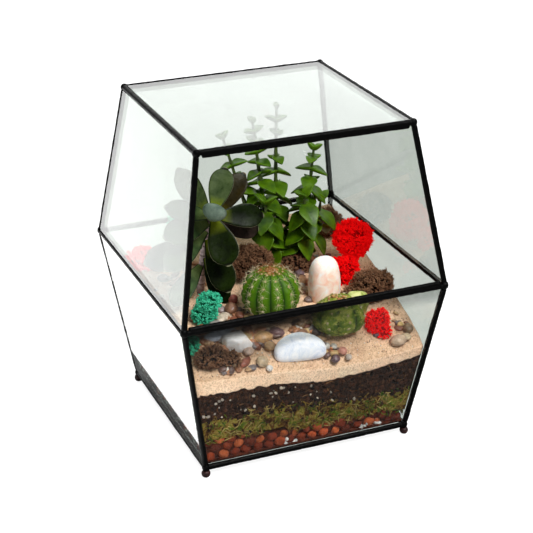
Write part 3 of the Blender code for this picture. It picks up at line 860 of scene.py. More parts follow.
def moss_layer():
    """Dry sphagnum under the soil: a brown-olive mat with brighter sprigs against the glass."""
    rng = np.random.default_rng(23)
    mat = slab(clay_z, moss_z, 1.8, 12, 2.2, 1.0, 5.0, 5)
    f = Finish("sphagnum_mat", 0.95, Specular_IOR_Level=0.1)
    body = f.ramp(
        f.noise(8.0, 4.0, 0.6, 1.0),
        (0.36, (0.12, 0.06, 0.02)), (0.45, (0.40, 0.26, 0.09)),
        (0.53, (0.62, 0.54, 0.25)), (0.64, (0.34, 0.42, 0.08)),
    )
    f.colour(f.shade(0.8, body, f.noise(1.3, 4.0, 0.7), (0.35, (0.38, 0.32, 0.22)), (0.6, 1)))
    f.bump((f.noise(1.5, 4.0, 0.7), 0.7))
    piece("sphagnum_mat", mat, f.material, ("moss_filter",))
    strands = Shape()
    tones = (
        ((0.66, 0.56, 0.26), 900), ((0.52, 0.40, 0.14), 800), ((0.40, 0.50, 0.09), 700),
        ((0.28, 0.40, 0.06), 500), ((0.78, 0.68, 0.40), 560), ((0.30, 0.16, 0.06), 700),
    )
    for tone, count in tones:
        spots, normals = wall_spots(rng, count, offset(clay_z, -2.5), offset(moss_z, 4.0), 0.4)
        keep = wobble(spots, 10.0, count) > -0.1
        paths, radii = fibres(rng, spots[keep], normals[keep], 6.5, 0.42)
        strands.add(*tubes(paths, radii, 4), paint(tone))
    finish = tinted_finish("sphagnum", 0.9, 0.7, 0.05, 0.35, 5.0, Specular_IOR_Level=0.1)
    piece("sphagnum_strands", strands, finish)


def soil():
    """Dark potting soil with crumbs, perlite, a few roots and splinters of bark at the glass."""
    rng = np.random.default_rng(31)
    bulk = slab(moss_z, soil_z, 1.6, 26, 1.7, 1.2, 4.5, 9)
    f = Finish("potting_soil", 0.95, Specular_IOR_Level=0.08)
    lumps = f.noise(2.6, 5.0, 0.75)
    brown = ((0.34, (0.045, 0.022, 0.014)), (0.52, (0.17, 0.10, 0.065)), (0.68, (0.36, 0.235, 0.16)))
    f.colour(f.ramp(lumps, *brown))
    f.bump((f.noise(3.0, 5.0, 0.7), 1.0), (f.noise(0.8, 3.0), 0.3))
    piece("soil_bulk", bulk, f.material, ("soil",))
    crumbs = Shape()
    spots, normals = wall_spots(rng, 1700, offset(moss_z, -1.5), offset(soil_z, 0.4), 1.0)
    for spot in spots:
        radii = rng.uniform(0.8, 2.3) * rng.uniform(0.7, 1.2, 3)
        verts, faces = stone(spot, radii, *chance(rng), 1, 0.35)
        shade = np.array((0.19, 0.115, 0.075)) * rng.uniform(0.35, 1.9)
        crumbs.add(inset(verts, 0.15), faces, paint(shade))
    finish = tinted_finish("soil_crumb", 0.95, 0.8, 0.15, 0.35, Specular_IOR_Level=0.08)
    piece("soil_crumbs", crumbs, finish)
    perlite = Shape()
    spots, normals = wall_spots(rng, 260, offset(moss_z, 1), offset(soil_z, -3), 0.6)
    for spot in spots:
        if spot[0] > rng.uniform(-90, 60):
            continue
        radii = rng.uniform(0.4, 1.3) * rng.uniform(0.6, 1.4, 3)
        verts, faces = stone(spot, radii, *chance(rng), 2, 0.5)
        white = rng.uniform(0.5, 0.9)
        perlite.add(inset(verts, 0.1), faces, paint((white, white * 0.93, white * 0.84)))
    piece("perlite", perlite, tinted_finish("perlite_grain", 0.8, 0.4, 0.1, 0.2))
    roots = Shape()
    kinds = (
        ((0.50, 0.30, 0.14), 110, 9.0, 0.28), ((0.58, 0.42, 0.26), 60, 7.0, 0.36),
        ((0.26, 0.14, 0.07), 180, 10.0, 0.3),
    )
    for tone, count, reach, radius in kinds:
        spots, normals = wall_spots(rng, count, moss_z, offset(soil_z, -1), 0.6)
        paths, radii = fibres(rng, spots, normals, reach, radius, 0.7)
        roots.add(*tubes(paths, radii, 4), paint(tone))
    finish = tinted_finish("root", 0.85, 0.6, 0.05, 0.3, Specular_IOR_Level=0.15)
    piece("roots_and_bark", roots, finish)


def sand():
    shape = slab(soil_z, sand_z, 1.0, 12, 0.35, 1.1, 9.0, 41)
    piece("sand_bed", shape, sand_finish(), ("sand",))
    rng = np.random.default_rng(43)
    grains = Shape()
    palette = (
        (0.95, 0.86, 0.74), (0.74, 0.60, 0.50), (0.84, 0.70, 0.58), (0.62, 0.50, 0.42), (0.98, 0.94, 0.88)
    )
    for _ in range(3200):
        u, v = rng.uniform(-0.985, 0.985, 2)
        z = float(sand_z(u, v))
        half = float(inner_half(z))
        radii = rng.uniform(0.3, 0.6) * rng.uniform(0.7, 1.2, 3)
        spot = (u * half, v * half, z + rng.uniform(0.0, 0.5))
        grain = stone(spot, radii, 3, rng.uniform(0, 6, 3), 1, 0.2)
        grains.add(*grain, paint(palette[rng.integers(len(palette))]))
    piece("sand_grains", grains, tinted_finish("sand_grain", 0.8, 0.4, 0.05, 0.15))


# ---------------------------------------------------------------- stones


def in_ground(x, y, rise):
    return np.array([x, y, float(ground_z(x, y)) + rise])


def big_stones():
    low, high = node_box("white_bean_stone")
    verts, faces = block((high - low) / 2, 2.2, 2.3)
    verts *= 1 + 0.03 * wobble(verts, 12.0, 4)[:, None]
    ends = (verts[:, 0] / (high - low)[0] * 2) ** 2
    verts[:, 1] -= ends * 3.5
    verts[:, 2] += 1.0 - ends * 2.5 - 0.06 * verts[:, 0]
    verts = verts @ turned((0, 0, math.radians(-3))).T + (low + high) / 2 + (0, 0.8, 0)
    solid("bean_stone", verts, faces, white_stone_finish(), "white_bean_stone", ("white_bean_stone",))

    low, high = node_box("marble_chunk")
    verts, faces = block((high - low) / 2, 4.0, 3.6)
    rng = np.random.default_rng(12)
    half = (high - low) / 2
    for normal in unit(rng.normal(size=(7, 3))):
        over = np.maximum((verts / half) @ normal - rng.uniform(0.78, 0.98), 0)
        verts -= 0.9 * over[:, None] * normal * half
    verts += 0.35 * wobble(verts, 3.5, 5)[:, None] * unit(verts)
    verts += (low + high) / 2
    solid("marble_stone", verts, faces, marble_finish(), "marble_chunk", ("marble_chunk",))

    low, high = node_box("quartz_pillar")
    half = (high - low) / 2
    verts, faces = block(half, 2.6, 3.2)
    height = (verts[:, 2] / half[2] + 1) / 2
    verts[:, :2] *= (1.02 - 0.16 * height**2)[:, None]
    verts += 0.4 * wobble(verts, 9.0, 6)[:, None] * unit(verts)
    milky = np.clip(height * 0.9 - 0.5 + 0.3 * wobble(verts, 7, 3), 0, 1)
    verts = verts + (low + high) / 2
    solid("quartz_stone", verts, faces, quartz_finish(), "quartz_pillar", ("quartz_pillar",), mark=milky)


def pebbles():
    """River gravel: the stones that stand out in their places, and smaller ones strewn between."""
    finish = tinted_finish("river_pebble", 0.42, 0.6, 0.06, 0.28, 3.0)
    for name, tone in (("pebble_tan", (0.82, 0.64, 0.44)), ("pebble_grey", (0.84, 0.72, 0.61))):
        low, high = node_box(name)
        pebble = stone((low + high) / 2, (high - low) / 2, 5, detail=4, lump=0.05)
        solid(f"{name}_stone", *pebble, finish, "pebble", (name,), tint=paint(tone))
    rng = np.random.default_rng(57)
    chosen = (
        (-44, -75, 5.0, 4.2, 3.2, (0.93, 0.80, 0.72)), (-37, -85, 4.6, 4.2, 4.0, (0.82, 0.72, 0.58)),
        (-41, -67, 4.0, 3.4, 3.0, (0.84, 0.52, 0.30)), (-27, -74, 5.2, 4.0, 3.6, (0.80, 0.64, 0.46)),
        (79, -82, 4.6, 4.0, 2.4, (0.86, 0.76, 0.62)), (84, -76, 4.6, 4.2, 3.4, (0.56, 0.46, 0.34)),
        (80, -70, 3.0, 2.6, 1.6, (0.92, 0.78, 0.48)), (-56, -60, 5.4, 4.4, 3.2, (0.60, 0.54, 0.50)),
        (-17, -62, 6.2, 4.4, 4.0, (0.56, 0.42, 0.42)), (27, -83, 3.4, 3.0, 3.2, (0.86, 0.60, 0.52)),
        (19.5, -87, 4.0, 3.2, 3.0, (0.42, 0.32, 0.34)), (30, -87, 2.8, 2.4, 2.2, (0.84, 0.78, 0.72)),
        (-58, -55, 14.0, 5.0, 4.2, (0.90, 0.94, 1.0)), (-38, -26, 5.4, 4.8, 4.4, (0.58, 0.42, 0.32)),
        (-32, -14, 4.8, 4.0, 3.6, (0.66, 0.36, 0.30)), (-47, -33, 7.0, 4.4, 2.6, (0.93, 0.86, 0.76)),
        (-56, -40, 6.0, 4.2, 3.0, (0.66, 0.62, 0.60)), (-66, -26, 5.4, 4.6, 3.6, (0.52, 0.38, 0.30)),
        (-42, 20, 7.0, 5.0, 4.6, (0.78, 0.58, 0.42)), (30, 4, 4.6, 3.6, 2.6, (0.50, 0.42, 0.44)),
        (28, -7, 6.0, 3.8, 3.2, (0.80, 0.60, 0.44)), (-80, -62, 6.4, 5.0, 4.0, (0.66, 0.50, 0.38)),
        (-49, -83, 6.6, 3.0, 2.6, (0.62, 0.36, 0.28)), (-33, -89, 3.2, 2.4, 2.2, (0.97, 0.95, 0.92)),
        (-74, -45, 6.0, 4.8, 4.0, (0.72, 0.56, 0.44)), (14, -66, 4.6, 3.8, 3.4, (0.36, 0.30, 0.28)),
        (10, -74, 4.0, 3.4, 3.0, (0.72, 0.62, 0.54)), (16, -78, 3.4, 3.0, 2.6, (0.90, 0.88, 0.84)),
        (58, -76, 2.6, 2.2, 1.8, (0.44, 0.36, 0.40)), (2, -66, 5.0, 3.8, 3.4, (0.62, 0.46, 0.36)),
    )
    shape = Shape()
    for x, y, rx, ry, rz, tone in chosen:
        spot, seed = in_ground(x, y, rz * 0.55), int(700 + x * 7 + y)
        shape.add(*stone(spot, (rx, ry, rz), seed, (0, 0, 0.05 * x), 4, 0.12, 0.10), paint(tone))
    palette = [
        (0.78, 0.62, 0.46), (0.62, 0.38, 0.28), (0.88, 0.80, 0.66), (0.52, 0.42, 0.38), (0.70, 0.48, 0.34),
        (0.86, 0.72, 0.50), (0.46, 0.34, 0.30), (0.93, 0.90, 0.85), (0.62, 0.56, 0.55), (0.80, 0.55, 0.38),
    ]
    zones = (
        (-62, -50, 22, 14, 60, 3.6), (-36, -62, 26, 12, 54, 3.6), (-30, -32, 12, 12, 24, 3.4),
        (12, -62, 16, 9, 44, 3.2), (20, -18, 16, 14, 30, 3.0), (16, -80, 12, 5, 22, 2.6),
        (78, -66, 10, 10, 8, 2.4), (-60, -84, 24, 5, 26, 2.8), (45, 10, 22, 26, 16, 2.6),
        (-50, 25, 30, 36, 46, 3.4),
    )
    for cx, cy, rx, ry, count, size in zones:
        for _ in range(count):
            x, y = cx + rx * rng.normal(0, 0.5), cy + ry * rng.normal(0, 0.5)
            radius = size * rng.uniform(0.5, 1.35)
            radii = radius * np.array([rng.uniform(0.95, 1.3), rng.uniform(0.8, 1.05), rng.uniform(0.5, 0.8)])
            limit = float(inner_half(ground_z(x, y))) - radius * 1.3 - 0.4
            x, y = np.clip((x, y), -limit, limit)
            spot = in_ground(x, y, radii[2] * rng.uniform(0.1, 0.6))
            tilt = (rng.uniform(-0.3, 0.3), rng.uniform(-0.3, 0.3), rng.uniform(0, 6))
            verts, faces = stone(spot, radii, int(rng.integers(1e6)), tilt, 3, 0.14, 0.12)
            shade = np.array(palette[rng.integers(len(palette))]) * rng.uniform(0.8, 1.05)
            shape.add(verts, faces, paint(np.clip(shade, 0, 1)))
    piece("river_pebbles", shape, finish)


# ---------------------------------------------------------------- mosses


GOLDEN_ANGLE = 2.39996


def lichen(name, node, lobes, material, density, thick, spread, seed):
    """A reindeer moss clump: forked twigs that end in a lacy crust round the heart of each lobe, a ball
    coloured dark as painted shade.
    """
    rng = np.random.default_rng(seed)
    shape = Shape()

    def grow(starts, ends, thickness, mark0, mark1):
        t = np.linspace(0, 1, 4)
        paths = starts[:, None] + (ends - starts)[:, None] * t[None, :, None]
        length = np.linalg.norm(ends - starts, axis=1)
        paths[:, 1:3] += rng.normal(0, 0.14, (len(starts), 2, 3)) * length[:, None, None]
        thin = np.linspace(1.0, 0.7, 4)[None] * thickness * rng.uniform(0.8, 1.25, (len(starts), 1))
        keep = ends[:, 2] > ground_z(ends[:, 0], ends[:, 1]) - 0.5
        half = inner_half(paths[..., 2])
        confine(paths, np.minimum(half, 2 * WIDEST_INNER_HALF - half) - 0.6)
        mark = np.broadcast_to((mark0 + (mark1 - mark0) * t)[None, :, None], (int(keep.sum()), 4, 3))
        shape.add(*tubes(paths[keep], thin[keep], 3), mark=mark.ravel())

    for order, (centre, radii) in enumerate(lobes):
        centre, radii = np.array(centre, float), np.array(radii, float)
        size = radii.mean()
        trunks = int(density * size * size)
        k = np.arange(trunks) + 0.5
        polar, turn = np.arccos(1 - 2 * k / trunks), k * GOLDEN_ANGLE
        ways = np.stack([np.sin(polar) * np.cos(turn), np.sin(polar) * np.sin(turn), np.cos(polar)], -1)
        ways = unit(ways + rng.normal(0, 0.08, ways.shape))
        swell = 1 + 0.26 * wobble(ways, 0.6, seed + order) + 0.12 * wobble(ways, 0.22, seed + 1)
        scale = radii * swell[:, None]
        inner = centre + ways * scale * 0.4
        middle = centre + ways * scale * 0.72
        # the twigs' mark rises from the heart outwards, so they are darker towards the heart as painted shade
        grow(inner, middle, thick * 1.2, 0.1, 0.4)
        forks = np.repeat(np.arange(trunks), 4)
        lean = unit(ways[forks] + rng.normal(0, spread, (len(forks), 3)))
        second = middle[forks] + lean * size * 0.17 * rng.uniform(0.8, 1.2, (len(forks), 1))
        grow(middle[forks], second, thick, 0.4, 0.75)
        tips = np.repeat(np.arange(len(forks)), 3)
        lean = unit(ways[forks][tips] + rng.normal(0, spread * 1.3, (len(tips), 3)))
        third = second[tips] + lean * size * 0.13 * rng.uniform(0.6, 1.3, (len(tips), 1))
        grow(second[tips], third, thick * 0.85, 0.75, 1.0)
        # the heart ball gets mark 0.2, fully dark, as painted shade inside the clump
        verts, faces = BALLS[4]
        heart = verts * (1 + 0.15 * wobble(verts, 0.5, seed))[:, None] * radii * 0.62 + centre
        shape.add(heart, faces, mark=0.2)
    piece(name, shape, material, (node,))


def mosses():
    red = moss_finish("red_lichen", (0.60, 0.0, 0.01), (0.96, 0.01, 0.03), (1.0, 0.06, 0.07), 0.18)
    teal = moss_finish("teal_lichen", (0.04, 0.36, 0.26), (0.14, 0.66, 0.50), (0.36, 0.84, 0.68), 0.05)
    brown = moss_finish("brown_lichen", (0.12, 0.065, 0.04), (0.42, 0.28, 0.20), (0.64, 0.48, 0.36))
    looks = {
        "red": (red, "red_moss", 1.4, 0.42, 0.6),
        "teal": (teal, "teal_moss", 1.2, 0.5, 0.8),
        "brown": (brown, "brown_moss", 1.4, 0.34, 0.9),
    }
    rows = (
        ("red_moss_right", ((74, 0, 131), (17.0, 14, 16)), ((61, -9, 109), (13.0, 12, 14))),
        ("red_moss_front", ((60.5, -71, 95), (9.5, 9, 10)), ((63, -74, 87), (8, 7, 7))),
        ("red_moss_back_left", ((-74, 74, 106), (15.0, 14, 14)),),
        (
            "teal_moss_left", ((-58, -33, 115), (10.5, 10, 9)), ((-61, -32, 106), (10.5, 9, 8)),
            ((-84, -66, 102), (7, 8, 8)),
        ),
        ("teal_moss_back", ((-36, 76, 132), (15.0, 12, 22)),),
        ("brown_moss_middle", ((-6, 12, 120), (19.0, 15, 15)), ((33, 12, 112), (16.0, 9, 8))),
        ("brown_moss_right", ((73, -37, 107), (18.5, 12, 13)), ((56, -36, 100), (11, 9, 9))),
        ("brown_moss_back", ((77, 58, 121), (15.0, 15, 14)),),
        ("brown_moss_front_left", ((-74, -79, 95), (13.5, 9.5, 9.5)), ((-60, -81, 92), (9, 8, 7))),
    )
    for seed, (node, *lobes) in enumerate(rows):
        material, slot, density, thick, spread = looks[node.split("_")[0]]
        name = node.replace("moss", "lichen")
        lichen(name, node, lobes, material, density, thick, spread, seed + 70)


# ---------------------------------------------------------------- cacti


def cactus(name, node, x, y, radius, height, ribs, sink, material, look, seed, twist=0.0):
    """look is the groove depth, lump height, spine length, areole pitch and how many woolly bits crown it."""
    groove, lump, spine_length, pitch, tops = look
    rng = np.random.default_rng(seed)
    base = float(ground_z(x, y))
    core = np.array([x, y, base + height / 3])
    rows, around = 60, ribs * 14
    s = np.linspace(0.0, 1.0, rows)
    polar = math.pi * (0.97 - 0.96 * s)
    angle = np.arange(around) * 2 * math.pi / around
    crest = 0.5 + 0.5 * np.cos(ribs * angle)[None] * np.ones((rows, 1))
    profile = np.abs(np.cos(ribs * angle / 2))[None] ** 0.7
    flat = np.sin(polar)[:, None]
    notches = 1 + 0.015 * np.sin(polar * 22)[:, None] * crest
    reach = flat * (1 - groove * (1 - profile)) * notches
    dimple = 0.12 * np.maximum(0, np.cos(polar))[:, None] * np.exp(-((flat / 0.3) ** 2))
    z = base - sink + (np.cos(polar)[:, None] - dimple + 1) * height / 2 + 0 * reach
    turn = angle[None] + twist
    rings = np.stack([x + reach * radius * np.cos(turn), y + reach * radius * np.sin(turn), z], -1)
    verts, faces = loft(rings)
    swell = 0.25 * wobble(verts, 6.0, seed) + lump * wobble(verts, 11.0, seed + 1)
    verts = verts + swell[:, None] * unit(verts - core)
    crests = np.clip(profile * np.ones((rows, 1)), 0, 1).ravel()
    solid(name, verts, faces, material, "cactus", (node,), mark=crests)

    wool, spines = Shape(), Shape()
    pads, pad_faces = BALLS[2]
    wools = ((0.90, 0.80, 0.62), (0.86, 0.72, 0.54), (0.94, 0.88, 0.74))
    for rib in range(ribs):
        way = rib * 2 * math.pi / ribs + twist
        for share in np.arange(0.30, 0.985, pitch / height):
            p = math.pi * (0.97 - 0.96 * (share + lump * rng.uniform(-0.02, 0.02)))
            way_here = way + lump * rng.uniform(-0.09, 0.09)
            out = math.sin(p)
            rise = math.cos(p) - 0.12 * max(0.0, math.cos(p)) * math.exp(-((out / 0.3) ** 2))
            side_way = np.array([math.cos(way_here), math.sin(way_here), 0.0])
            spot = np.array([x, y, base - sink + (rise + 1) * height / 2]) + out * radius * side_way
            spot = spot + lump * wobble(spot[None], 11.0, seed + 1)[0] * unit(spot - core)
            if spot[2] < base + 1.0:
                continue
            normal = unit(math.sin(p) * side_way + (0, 0, math.cos(p) * radius / (height / 2)))
            pad = 0.7 * rng.uniform(0.8, 1.15)
            uneven = 1 + 0.25 * wobble(pads, 0.4, int(rng.integers(1e6)))
            pad_verts = pads * pad * uneven[:, None] + spot + normal * 0.15
            wool.add(pad_verts, pad_faces, paint(wools[rng.integers(3)]))
            count = 9
            fan = rng.uniform(0, 2 * math.pi) + np.arange(count) * 2 * math.pi / count
            side = unit(np.cross(normal, (0, 0, 1.0)) + 1e-6)
            up = np.cross(side, normal)
            flare = rng.uniform(0.7, 1.6, count)
            ways = unit(normal + flare[:, None] * (side * np.cos(fan)[:, None] + up * np.sin(fan)[:, None]))
            length = spine_length * rng.uniform(0.6, 1.25, count)
            t = np.linspace(0, 1, 4)
            paths = spot + ways[:, None] * (t[None, :, None] * length[:, None, None])
            paths += normal * (t**2)[None, :, None] * (-0.25 * length)[:, None, None]
            radii = np.linspace(0.13, 0.03, 4)[None] * np.ones((count, 1))
            tone = (0.95, 0.88, 0.72) if share < 0.80 else (0.70, 0.44, 0.20)
            spines.add(*tubes(paths, radii, 3), paint(tone))
    top = np.array([x, y, base - sink + height * (1 - 0.06)])
    crowns = ((0.80, 0.60, 0.36), (0.88, 0.76, 0.54), (0.66, 0.42, 0.22))
    for _ in range(tops):
        away = rng.normal(0, 1, 3) * (radius * 0.16, radius * 0.16, 0.8)
        radii = rng.uniform(0.7, 1.5, 3)
        tuft = stone(top + away, radii, *chance(rng), 2, 0.3)
        wool.add(*tuft, paint(crowns[rng.integers(3)]))
    piece(f"{name}_areoles", wool, tinted_finish(f"{name}_wool", 0.95, 0.3, 0.1, 0.2, 1.0))
    piece(f"{name}_spines", spines, tinted_finish(f"{name}_spine", 0.5, 0.4, 0.01, 0.15, 1.0))


def cacti():
    globe = cactus_finish("globe_cactus_skin", (0.09, 0.19, 0.01), (0.21, 0.36, 0.02), (0.33, 0.48, 0.03))
    small = cactus_finish(
        "small_cactus_skin", (0.16, 0.19, 0.05), (0.30, 0.40, 0.10), (0.42, 0.50, 0.15), (0.62, 0.63, 0.28)
    )
    crown = cactus_finish(
        "young_cactus_skin", (0.46, 0.48, 0.20), (0.58, 0.63, 0.26), (0.68, 0.72, 0.36), (0.86, 0.85, 0.60)
    )
    globe_look, small_look = (0.10, 0.0, 6.0, 3.8, 46), (0.05, 1.3, 2.6, 3.6, 30)
    twist = math.radians(-8)
    cactus("globe_cactus_body", "globe_cactus", -11, -38, 22.0, 40.0, 12, 3.0, globe, globe_look, 5, twist)
    cactus("small_cactus_body", "small_cactus", 31, -65, 19.5, 30.0, 8, 3.0, small, small_look, 6)
    verts, faces = stone((49, -58, 103), (10.5, 9.0, 13.0), 8, (0, 0.25, 0), 5, 0.16)
    solid("small_cactus_offset", verts, faces, crown, "cactus", mark=0.5 + 0.5 * wobble(verts, 4.0, 9))


# ---------------------------------------------------------------- leafy plants


def leaf_rings(length, width, thick, curl, fullest, base, point, cup, keel=0.7, rows=26, around=26):
    """A fleshy leaf along +Z, its upper face towards +Y: rings of points, and how near the rim each is."""
    s = (1 - np.cos(math.pi * np.linspace(0.012, 0.995, rows))) / 2
    rise = base + (1 - base) * np.sin(math.pi / 2 * np.clip(s / fullest, 0, 1)) ** 1.2
    past = np.clip((s - fullest) / (1 - fullest), 0, 1)
    fall = np.clip(1 - past**point, 0, 1) ** (0.5 if point > 1.8 else 0.8)
    half = rise * fall * width / 2
    body = np.minimum(np.sqrt(np.clip(s / 0.06, 0, 1)), 1) * fall**0.7
    angle = np.arange(around) * 2 * math.pi / around
    x = np.cos(angle)[None] * half[:, None]
    across = np.cos(angle)[None] * np.ones((rows, 1))
    upper = np.maximum(np.sin(angle), 0)[None] * (1 - keel)
    lower = np.minimum(np.sin(angle), 0)[None] * keel
    y = (upper + lower) * thick * body[:, None]
    y += cup * across**2 * (half / (width / 2))[:, None] + (curl * s * s)[:, None]
    z = (s * length)[:, None] + 0 * x
    rim = np.clip(np.abs(across) ** 6, 0, 1)
    rim = np.maximum(rim, np.clip((s[:, None] - 0.93) / 0.07, 0, 1))
    return np.stack([x, y, z], -1), s, rim


def lay(rings, start, tip, face):
    """Turns rings along +Z to run from start towards tip with the upper face towards face."""
    along = unit(np.asarray(tip, float) - start)
    side = unit(np.cross(face, along))
    up = np.cross(along, side)
    return rings @ np.stack([side, up, along]) + start


def add_leaf(shape, rings, s, rim, tint=(1, 1, 1)):
    verts, faces = loft(rings)
    mark = np.clip(np.maximum(np.minimum(s / 0.5, 1.0)[:, None] * 0.5, rim), 0, 1)
    shape.add(verts, faces, tint, mark.ravel())


STEM_POINTS = 60


def crassula():
    """Seven shoots with crossed pairs of leaves: broad and drooping low down, small and upright on top."""
    rng = np.random.default_rng(91)
    foot = float(ground_z(30, 28)) - 3
    shoots = (
        ((28, 29), (15, 31, 140), (5, 36, 226), 13, 0.4), ((27, 31), (2, 36, 150), (-19, 37, 216), 9, 1.2),
        ((30, 31), (26, 40, 155), (29, 46, 231), 11, 0.0), ((31, 28), (43, 22, 150), (49, 20, 203), 11, 0.9),
        ((29.5, 26.5), (38, 14, 138), (36, 8, 170), 8, 0.2), ((27, 28), (10, 22, 135), (9, 20, 164), 7, 1.0),
        ((32, 27), (50, 20, 130), (55, 20, 160), 6, 0.5),
    )
    leaves, stems = Shape(), Shape()
    for (x, y), middle, tip, pairs, spin in shoots:
        path = smooth_path([(x, y, foot), middle, tip], STEM_POINTS)
        knuckles = 1 + 0.12 * np.sin(np.arange(STEM_POINTS) * 1.1)
        radii = np.linspace(2.2, 1.0, STEM_POINTS) * knuckles
        stems.add(*tubes(path[None], radii[None], 10), paint((0.34, 0.42, 0.14)))
        for k in range(pairs):
            at = (0.20 + 0.79 * k / (pairs - 1)) * (STEM_POINTS - 1)
            spot = path[int(at)] * (1 - at % 1) + path[min(int(at) + 1, STEM_POINTS - 1)] * (at % 1)
            along = tangent(path, at)
            across = unit(np.cross(along, (math.cos(spin), math.sin(spin), 0)))
            if k % 2:
                across = np.cross(across, along)
            size = np.interp(spot[2], (112, 135, 168, 190, 230), (15, 19, 18.5, 13, 9))
            size *= 0.62 if k == pairs - 1 else 1.0
            droop = np.interp(spot[2], (120, 165, 195, 230), (-0.55, -0.35, 0.15, 0.7))
            for way in (-1, 1):
                rise = 1.3 if k == pairs - 1 else droop + rng.uniform(-0.12, 0.12)
                outward = unit(across * way + along * rise + rng.normal(0, 0.07, 3))
                length = size * rng.uniform(0.92, 1.08)
                rings, s, rim = leaf_rings(length, length * 0.80, 3.6, -0.26 * length, 0.40, 0.5, 1.35, 1.4)
                rings = lay(rings, spot - outward * 0.4, spot + outward, along)
                shade = rng.uniform(0.72, 1.15)
                add_leaf(leaves, rings, s, rim, np.array([shade, shade, shade]))
    piece("crassula_leaves", leaves, crassula_finish(), ("crassula",))
    piece("crassula_stems", stems, tinted_finish("crassula_stem", 0.6, 0.8, 0.1, 0.3))


def echeveria():
    """Single leaves down a bare stem. A row is a name, distance below the crown, tip, width and skin."""
    path = smooth_path([(-50, 10, 93), (-49, 4, 130), (-46, 0, 158), (-44, -6, 169), (-46, -15, 177)], 90)
    reach = np.concatenate([[0], np.cumsum(np.linalg.norm(np.diff(path, axis=0), axis=1))])
    bulge = 1 + 0.10 * np.sin(reach * 1.15) ** 8 + 0.05 * wobble(path, 6.0, 2)
    stem = tubes(path[None], (2.7 * bulge)[None], 20)
    scars = np.repeat(np.clip(np.sin(reach * 1.15) ** 16, 0, 1), 20) * 0.8
    solid("echeveria_stem_bare", *stem, stem_finish(), "echeveria_stem", ("echeveria_stem",), mark=scars)
    dark, pale_rim = (0.05, 0.055, 0.02), (0.56, 0.56, 0.44)
    tones = {
        "green": ((0.025, 0.05, 0.004), (0.10, 0.15, 0.02), (0.46, 0.50, 0.10), dark, pale_rim),
        "upper": ((0.20, 0.26, 0.13), (0.36, 0.41, 0.26), (0.56, 0.62, 0.10), dark, pale_rim),
        "glaucous": (
            (0.30, 0.37, 0.33), (0.50, 0.56, 0.50), (0.56, 0.60, 0.36), (0.24, 0.25, 0.18), (0.62, 0.62, 0.42)
        ),
        "bronze": ((0.10, 0.075, 0.015), (0.21, 0.165, 0.045), (0.50, 0.46, 0.10), dark, (0.46, 0.36, 0.22)),
        "underside": ((0.10, 0.09, 0.06), (0.26, 0.20, 0.18), (0.66, 0.52, 0.54), dark, pale_rim),
        "pale": ((0.13, 0.20, 0.10), (0.28, 0.36, 0.21), (0.55, 0.62, 0.36), dark, pale_rim),
    }
    skins = {kind: echeveria_finish(f"echeveria_{kind}", *colours) for kind, colours in tones.items()}
    rows = (
        ("centre", 0.0, (-52, -36, 188), 16, "glaucous"), ("upper", 4.0, (-30, 2, 203), 18, "upper"),
        ("lower_middle", 6.0, (-41, -31, 142), 22, "green"), ("left", 9.0, (-82, -14, 187), 15, "pale"),
        ("right", 9.0, (-6, -10, 167), 18, "green"), ("upper_left", 14.0, (-69, -6, 211), 18, "upper"),
        ("upper_right", 14.0, (-14, 6, 195), 17, "bronze"), ("left_under", 16.0, (-86, -22, 167), 20, "pale"),
        ("right_under", 19.0, (-3, 8, 149), 18, "underside"), ("left_low", 24.0, (-87, -24, 143), 20, "pale"),
        ("lower_second", 30.0, (-38, -21, 116), 20, "green"),
        ("left_outer", 36.0, (-90, 14, 133), 21, "pale"),
        ("lowest", 46.0, (-38, -14, 103), 16, "green"), ("left_hanging", 54.0, (-80, -16, 110), 16, "pale"),
    )
    for name, back, tip, width, kind in rows:
        at = np.interp(reach[-1] - back, reach, np.arange(len(path)))
        spot, along = path[int(at)], tangent(path, at)
        tip = np.array(tip, float)
        outward = tip - spot
        if back:
            outward = outward - along * (outward @ along) * 0.75
        start = spot + unit(outward) * (2.2 if back else 0.5)
        face = np.array((-0.30, -0.80, 0.50)) if back else np.array((0.1, -0.5, 0.85))
        length = float(np.linalg.norm(tip - start))
        shape = Shape()
        if back:
            rings, s, rim = leaf_rings(length, width, 4.6, 0.0, 0.68, 0.30, 2.1, 1.6, rows=40, around=36)
        else:
            form = (12.0, 0.0, 0.5, 0.55, 2.4, 0.4, 0.55)
            rings, s, rim = leaf_rings(length, width + 2, *form, rows=40, around=36)
            rim = np.exp(-(((s - 0.52) / 0.06) ** 2))[:, None] + 0 * rim
        mucro = np.exp(-(((s - 1.0) / 0.012) ** 2))[:, None] * (1.6 if back else 0.4)
        rings[..., 2] += mucro
        add_leaf(shape, lay(rings, start, tip, face), s, rim)
        piece(f"leaf_{name}", shape, skins[kind], (f"echeveria_leaf_{name}",))


# ---------------------------------------------------------------- studio


def area_light(name, spot, target, size, power):
    """A lamp in metres and watts that the camera doesn't see, though the panes reflect it."""
    data = bpy.data.lights.new(name, "AREA")
    data.shape, data.size, data.size_y = "RECTANGLE", size[0], size[1]
    data.energy = power
    ob = bpy.data.objects.new(name, data)
    bpy.context.scene.collection.objects.link(ob)
    ob.location = spot
    ob.rotation_mode = "QUATERNION"
    ob.rotation_quaternion = (Vector(target) - Vector(spot)).to_track_quat("-Z", "Y")
    ob.visible_camera = False


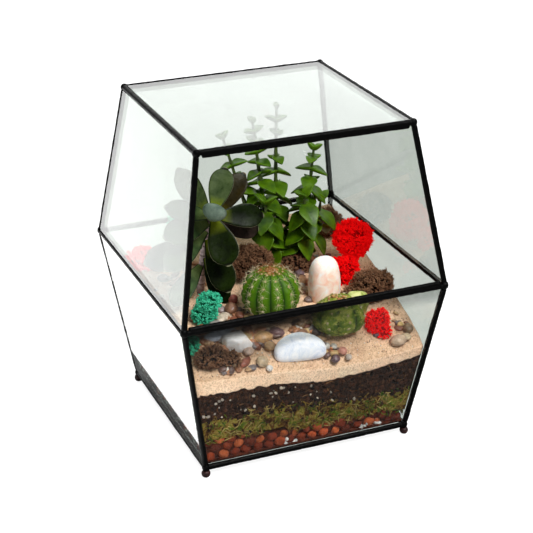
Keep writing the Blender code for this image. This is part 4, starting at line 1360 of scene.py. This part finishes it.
def studio():
    scene = bpy.context.scene
    scene.view_settings.view_transform = "Standard"
    world = bpy.data.worlds.new("studio")
    scene.world = world
    world.use_nodes = True
    backdrop = world.node_tree.nodes["Background"]
    backdrop.inputs["Color"].default_value = (1, 1, 1, 1)
    seen = world.node_tree.nodes.new("ShaderNodeLightPath")
    strength = world.node_tree.nodes.new("ShaderNodeMath")
    strength.operation = "MULTIPLY_ADD"
    strength.inputs[1].default_value, strength.inputs[2].default_value = 0.8, 0.22
    world.node_tree.links.new(seen.outputs["Is Camera Ray"], strength.inputs[0])
    world.node_tree.links.new(strength.outputs["Value"], backdrop.inputs["Strength"])
    bm = bmesh.new()
    bmesh.ops.create_grid(bm, x_segments=24, y_segments=24, size=5.0)
    mesh = bpy.data.meshes.new("studio_floor")
    bm.to_mesh(mesh)
    bm.free()
    floor = bpy.data.objects.new("studio_floor", mesh)
    scene.collection.objects.link(floor)
    floor.location.z = -0.0002
    floor.data.materials.append(floor_finish())
    area_light("key", (0.35, -1.25, 1.75), (0, 0, 0.12), (0.7, 0.7), 52)
    area_light("backdrop", (0.9, 2.2, 1.3), (0, 0, 0.15), (4.0, 1.6), 44)
    area_light("overhead", (-0.2, 0.5, 1.9), (0, 0.1, 0.0), (1.2, 1.2), 16)
    area_light("light_table", (-0.62, 0.53, 0.002), (-0.62, 0.53, 1.0), (1.06, 1.68), 14)


def camera():
    az, el, roll = math.radians(-21.87), math.radians(23.91), math.radians(-0.60)
    back = Vector((math.sin(az) * math.cos(el), -math.cos(az) * math.cos(el), math.sin(el)))
    right = Vector((math.cos(az), math.sin(az), 0))
    up = back.cross(right)
    side = right * math.cos(roll) + up * math.sin(roll)
    top = up * math.cos(roll) - right * math.sin(roll)
    data = bpy.data.cameras.new("view")
    data.lens, data.sensor_width = 101.53, 36.0
    ob = bpy.data.objects.new("view", data)
    bpy.context.scene.collection.objects.link(ob)
    matrix = Matrix((side, top, back)).transposed().to_4x4()
    matrix.translation = (-0.3884, -0.9703, 0.5838)
    ob.matrix_world = matrix
    bpy.context.scene.camera = ob


camera()
studio()
case()
clay()
moss_layer()
soil()
sand()
big_stones()
pebbles()
mosses()
cacti()
crassula()
echeveria()
